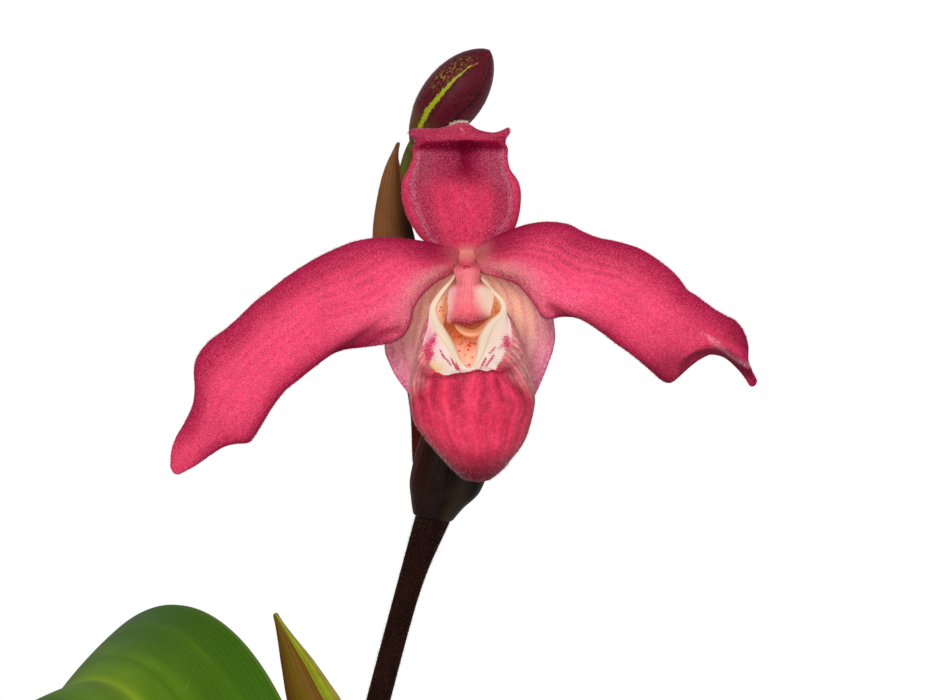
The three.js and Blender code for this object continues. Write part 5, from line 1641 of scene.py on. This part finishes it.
# the matrix that turns by the tilt about x, then about y, and by the spin about z
def turnedBy(tilt, spin):
    a, b, c = tilt[0], tilt[1], spin
    turnX = np.array([[1, 0, 0], [0, np.cos(a), -np.sin(a)], [0, np.sin(a), np.cos(a)]])
    turnY = np.array([[np.cos(b), 0, np.sin(b)], [0, 1, 0], [-np.sin(b), 0, np.cos(b)]])
    turnZ = np.array([[np.cos(c), -np.sin(c), 0], [np.sin(c), np.cos(c), 0], [0, 0, 1]])
    return turnZ @ turnY @ turnX


# a bed of bark with chips lying on it, along a spiral of golden angles that fills the pot's mouth
def makeBark():
    form, pot = barkForm, potForm
    random = np.random.default_rng(form["seed"])
    inner = potWall(form["top"] - 9) - pot["wall"] - 0.6
    bottom = potWall(pot["floor"] + 1) - pot["wall"] - 2.6
    low, high = pot["floor"] + 0.3, form["top"] - 5
    outline = [(1, low), (bottom, low), (inner - 0.5, form["top"] - 11), (inner - 4, high), (20, high),
               (1, high)]
    parts = [latheOf(outline, 64, lambda z: {"tint": 0.15})]
    for k in range(form["chips"]):
        radius = (inner - 4.5) * np.sqrt((k + 0.5) / form["chips"])
        turn = np.radians(137.5) * k
        size = np.array(form["size"]) * random.uniform(*form["sizes"], 3)
        ball, poles = chipRings(random, size)
        spin = turnedBy(random.normal(size=2) * 0.42, random.uniform(0, 2 * np.pi)).T
        lift = form["top"] - 3.2 + random.uniform(-1.5, 2.2)
        centre = np.array([radius * np.cos(turn), radius * np.sin(turn), lift])
        if radius >= form["clear"]:                  # the crown stands clear of chips
            parts.append(shellOf(ball @ spin + centre, *(poles @ spin + centre),
                                 np.linspace(0, 1, len(ball)), {"tint": random.random()}))
    makePiece("bark", joined(parts), barkChips, "bark")


crownForm = {"bottom": 62, "top": 96, "rootRadius": 2.3, "rootAngles": [48, 92, 131, 243, 298]}


# the husk is a lathe form with nine ridges, and its roots are tubes that dip into the bark
def makeCrown():
    form = crownForm
    top, bottom = form["top"], form["bottom"]
    state = 3
    draws = []
    for k in range(2 * len(form["rootAngles"])):     # the same run of numbers as the solids'
        state = (state * 1664525 + 1013904223) % 4294967296
        draws.append(state / 4294967296)
    outline = [(1, bottom), (9, bottom), (15, bottom + 10), (15, top - 4), (14.2, top - 1.4), (12, top),
               (1, top)]
    parts = [latheOf(outline, 72, lambda z: {"husk": 0.8},
                     lambda angle, z: 1 + 0.02 * np.sin(9 * angle) + 0 * z, repeat=6)]
    u = np.linspace(0, 1, 90)
    for k, beside in enumerate(form["rootAngles"]):
        angle = np.radians(leafFan["direction"] + beside)
        reach, sway = 26 + 12 * draws[2 * k], 0.35 * (draws[2 * k + 1] - 0.5)
        spots = ((6, 0, -8), (16, 0, 1), (reach, sway, -1), (reach + 9, 1.4 * sway, -9))
        path = curveAt([(r * np.cos(angle + a), r * np.sin(angle + a), top + z) for r, a, z in spots], u)
        radius = capped(form["rootRadius"] * (1 + 0.06 * np.sin(23 * u + k)), 0.03)
        rings = ringsRound(path, radius, radius, 28, (0, 0, 1))
        parts.append(shellOf(rings, path[0], path[-1], u, {"tip": 0.7 * ramp(u, 0.75, 1)[:, None]}))
    makePiece("crown", joined(parts), rootVelamen, "crown")


print("pot, bark and crown")
makePot()
makeBark()
makeCrown()
print("faces made", pieceCount["faces"])


# ---- floor, light and camera

studio = {
    "floorSize": 0.9, "floorDepth": 0.0004, "worldSeen": 1.0, "worldLight": 0.38,
    "camera": (0.0389, -0.5420, 0.3612), "tilt": 85.0, "lens": 120.0,
    "lights": {"key": {"place": (-0.12, -0.92, 0.74), "target": (0.03, 0, 0.3), "size": 0.45, "power": 7.4},
               "fill": {"place": (0.75, -0.55, 0.45), "target": (0.03, 0, 0.28), "size": 0.6, "power": 0.8}},
}


def makeFloor():
    angle = turnSteps(96)
    size = studio["floorSize"]
    mesh = bpy.data.meshes.new("floor")
    ring = np.stack([size * np.cos(angle), size * np.sin(angle), 0 * angle - studio["floorDepth"]], axis=1)
    mesh.from_pydata(ring.tolist(), [], [list(range(len(ring)))])
    floor = bpy.data.objects.new("floor", mesh)
    bpy.context.scene.collection.objects.link(floor)
    skin = Skin("paleFloor", Roughness=0.7, Specular_IOR_Level=0.2)
    shade = skin.mottle(300, 0.3, 0.7, 1, 5)
    skin.put(Base_Color=skin.mix(shade, (0.86, 0.86, 0.86, 1), (0.84, 0.84, 0.845, 1)))
    mesh.materials.append(skin.material)


def addAreaLight(name, place, target, size, power):
    light = bpy.data.lights.new(name, "AREA")
    light.shape, light.size, light.energy = "DISK", size, power
    lamp = bpy.data.objects.new(name, light)
    bpy.context.scene.collection.objects.link(lamp)
    lamp.location = place
    lamp.rotation_euler = (Vector(target) - Vector(place)).to_track_quat("-Z", "Y").to_euler()


def makeStudio():
    scene = bpy.context.scene
    camera = bpy.data.cameras.new("camera")
    camera.lens, camera.sensor_width = studio["lens"], 36
    camera.clip_start, camera.clip_end = 0.01, 50
    seen = bpy.data.objects.new("camera", camera)
    seen.location = studio["camera"]
    seen.rotation_euler = (np.radians(studio["tilt"]), 0, 0)
    scene.collection.objects.link(seen)
    scene.camera = seen
    for name, light in studio["lights"].items():
        addAreaLight(name, **light)
    world = scene.world or bpy.data.worlds.new("world")
    scene.world = world
    world.use_nodes = True
    tree = world.node_tree
    tree.nodes.clear()
    # white where it is looked at, and softer as a light
    white = (1, 1, 1, 1)
    lookedAt = addNode(tree, "LightPath", output="Is Camera Ray")
    cast = addNode(tree, "Background", {"Color": white, "Strength": studio["worldLight"]})
    background = addNode(tree, "Background", {"Color": white, "Strength": studio["worldSeen"]})
    mixed = addNode(tree, "MixShader", {0: lookedAt, 1: cast, 2: background})
    plug(tree.nodes.new("ShaderNodeOutputWorld").inputs[0], mixed)
    scene.view_settings.view_transform = "Standard"


print("studio")
makeFloor()
makeStudio()
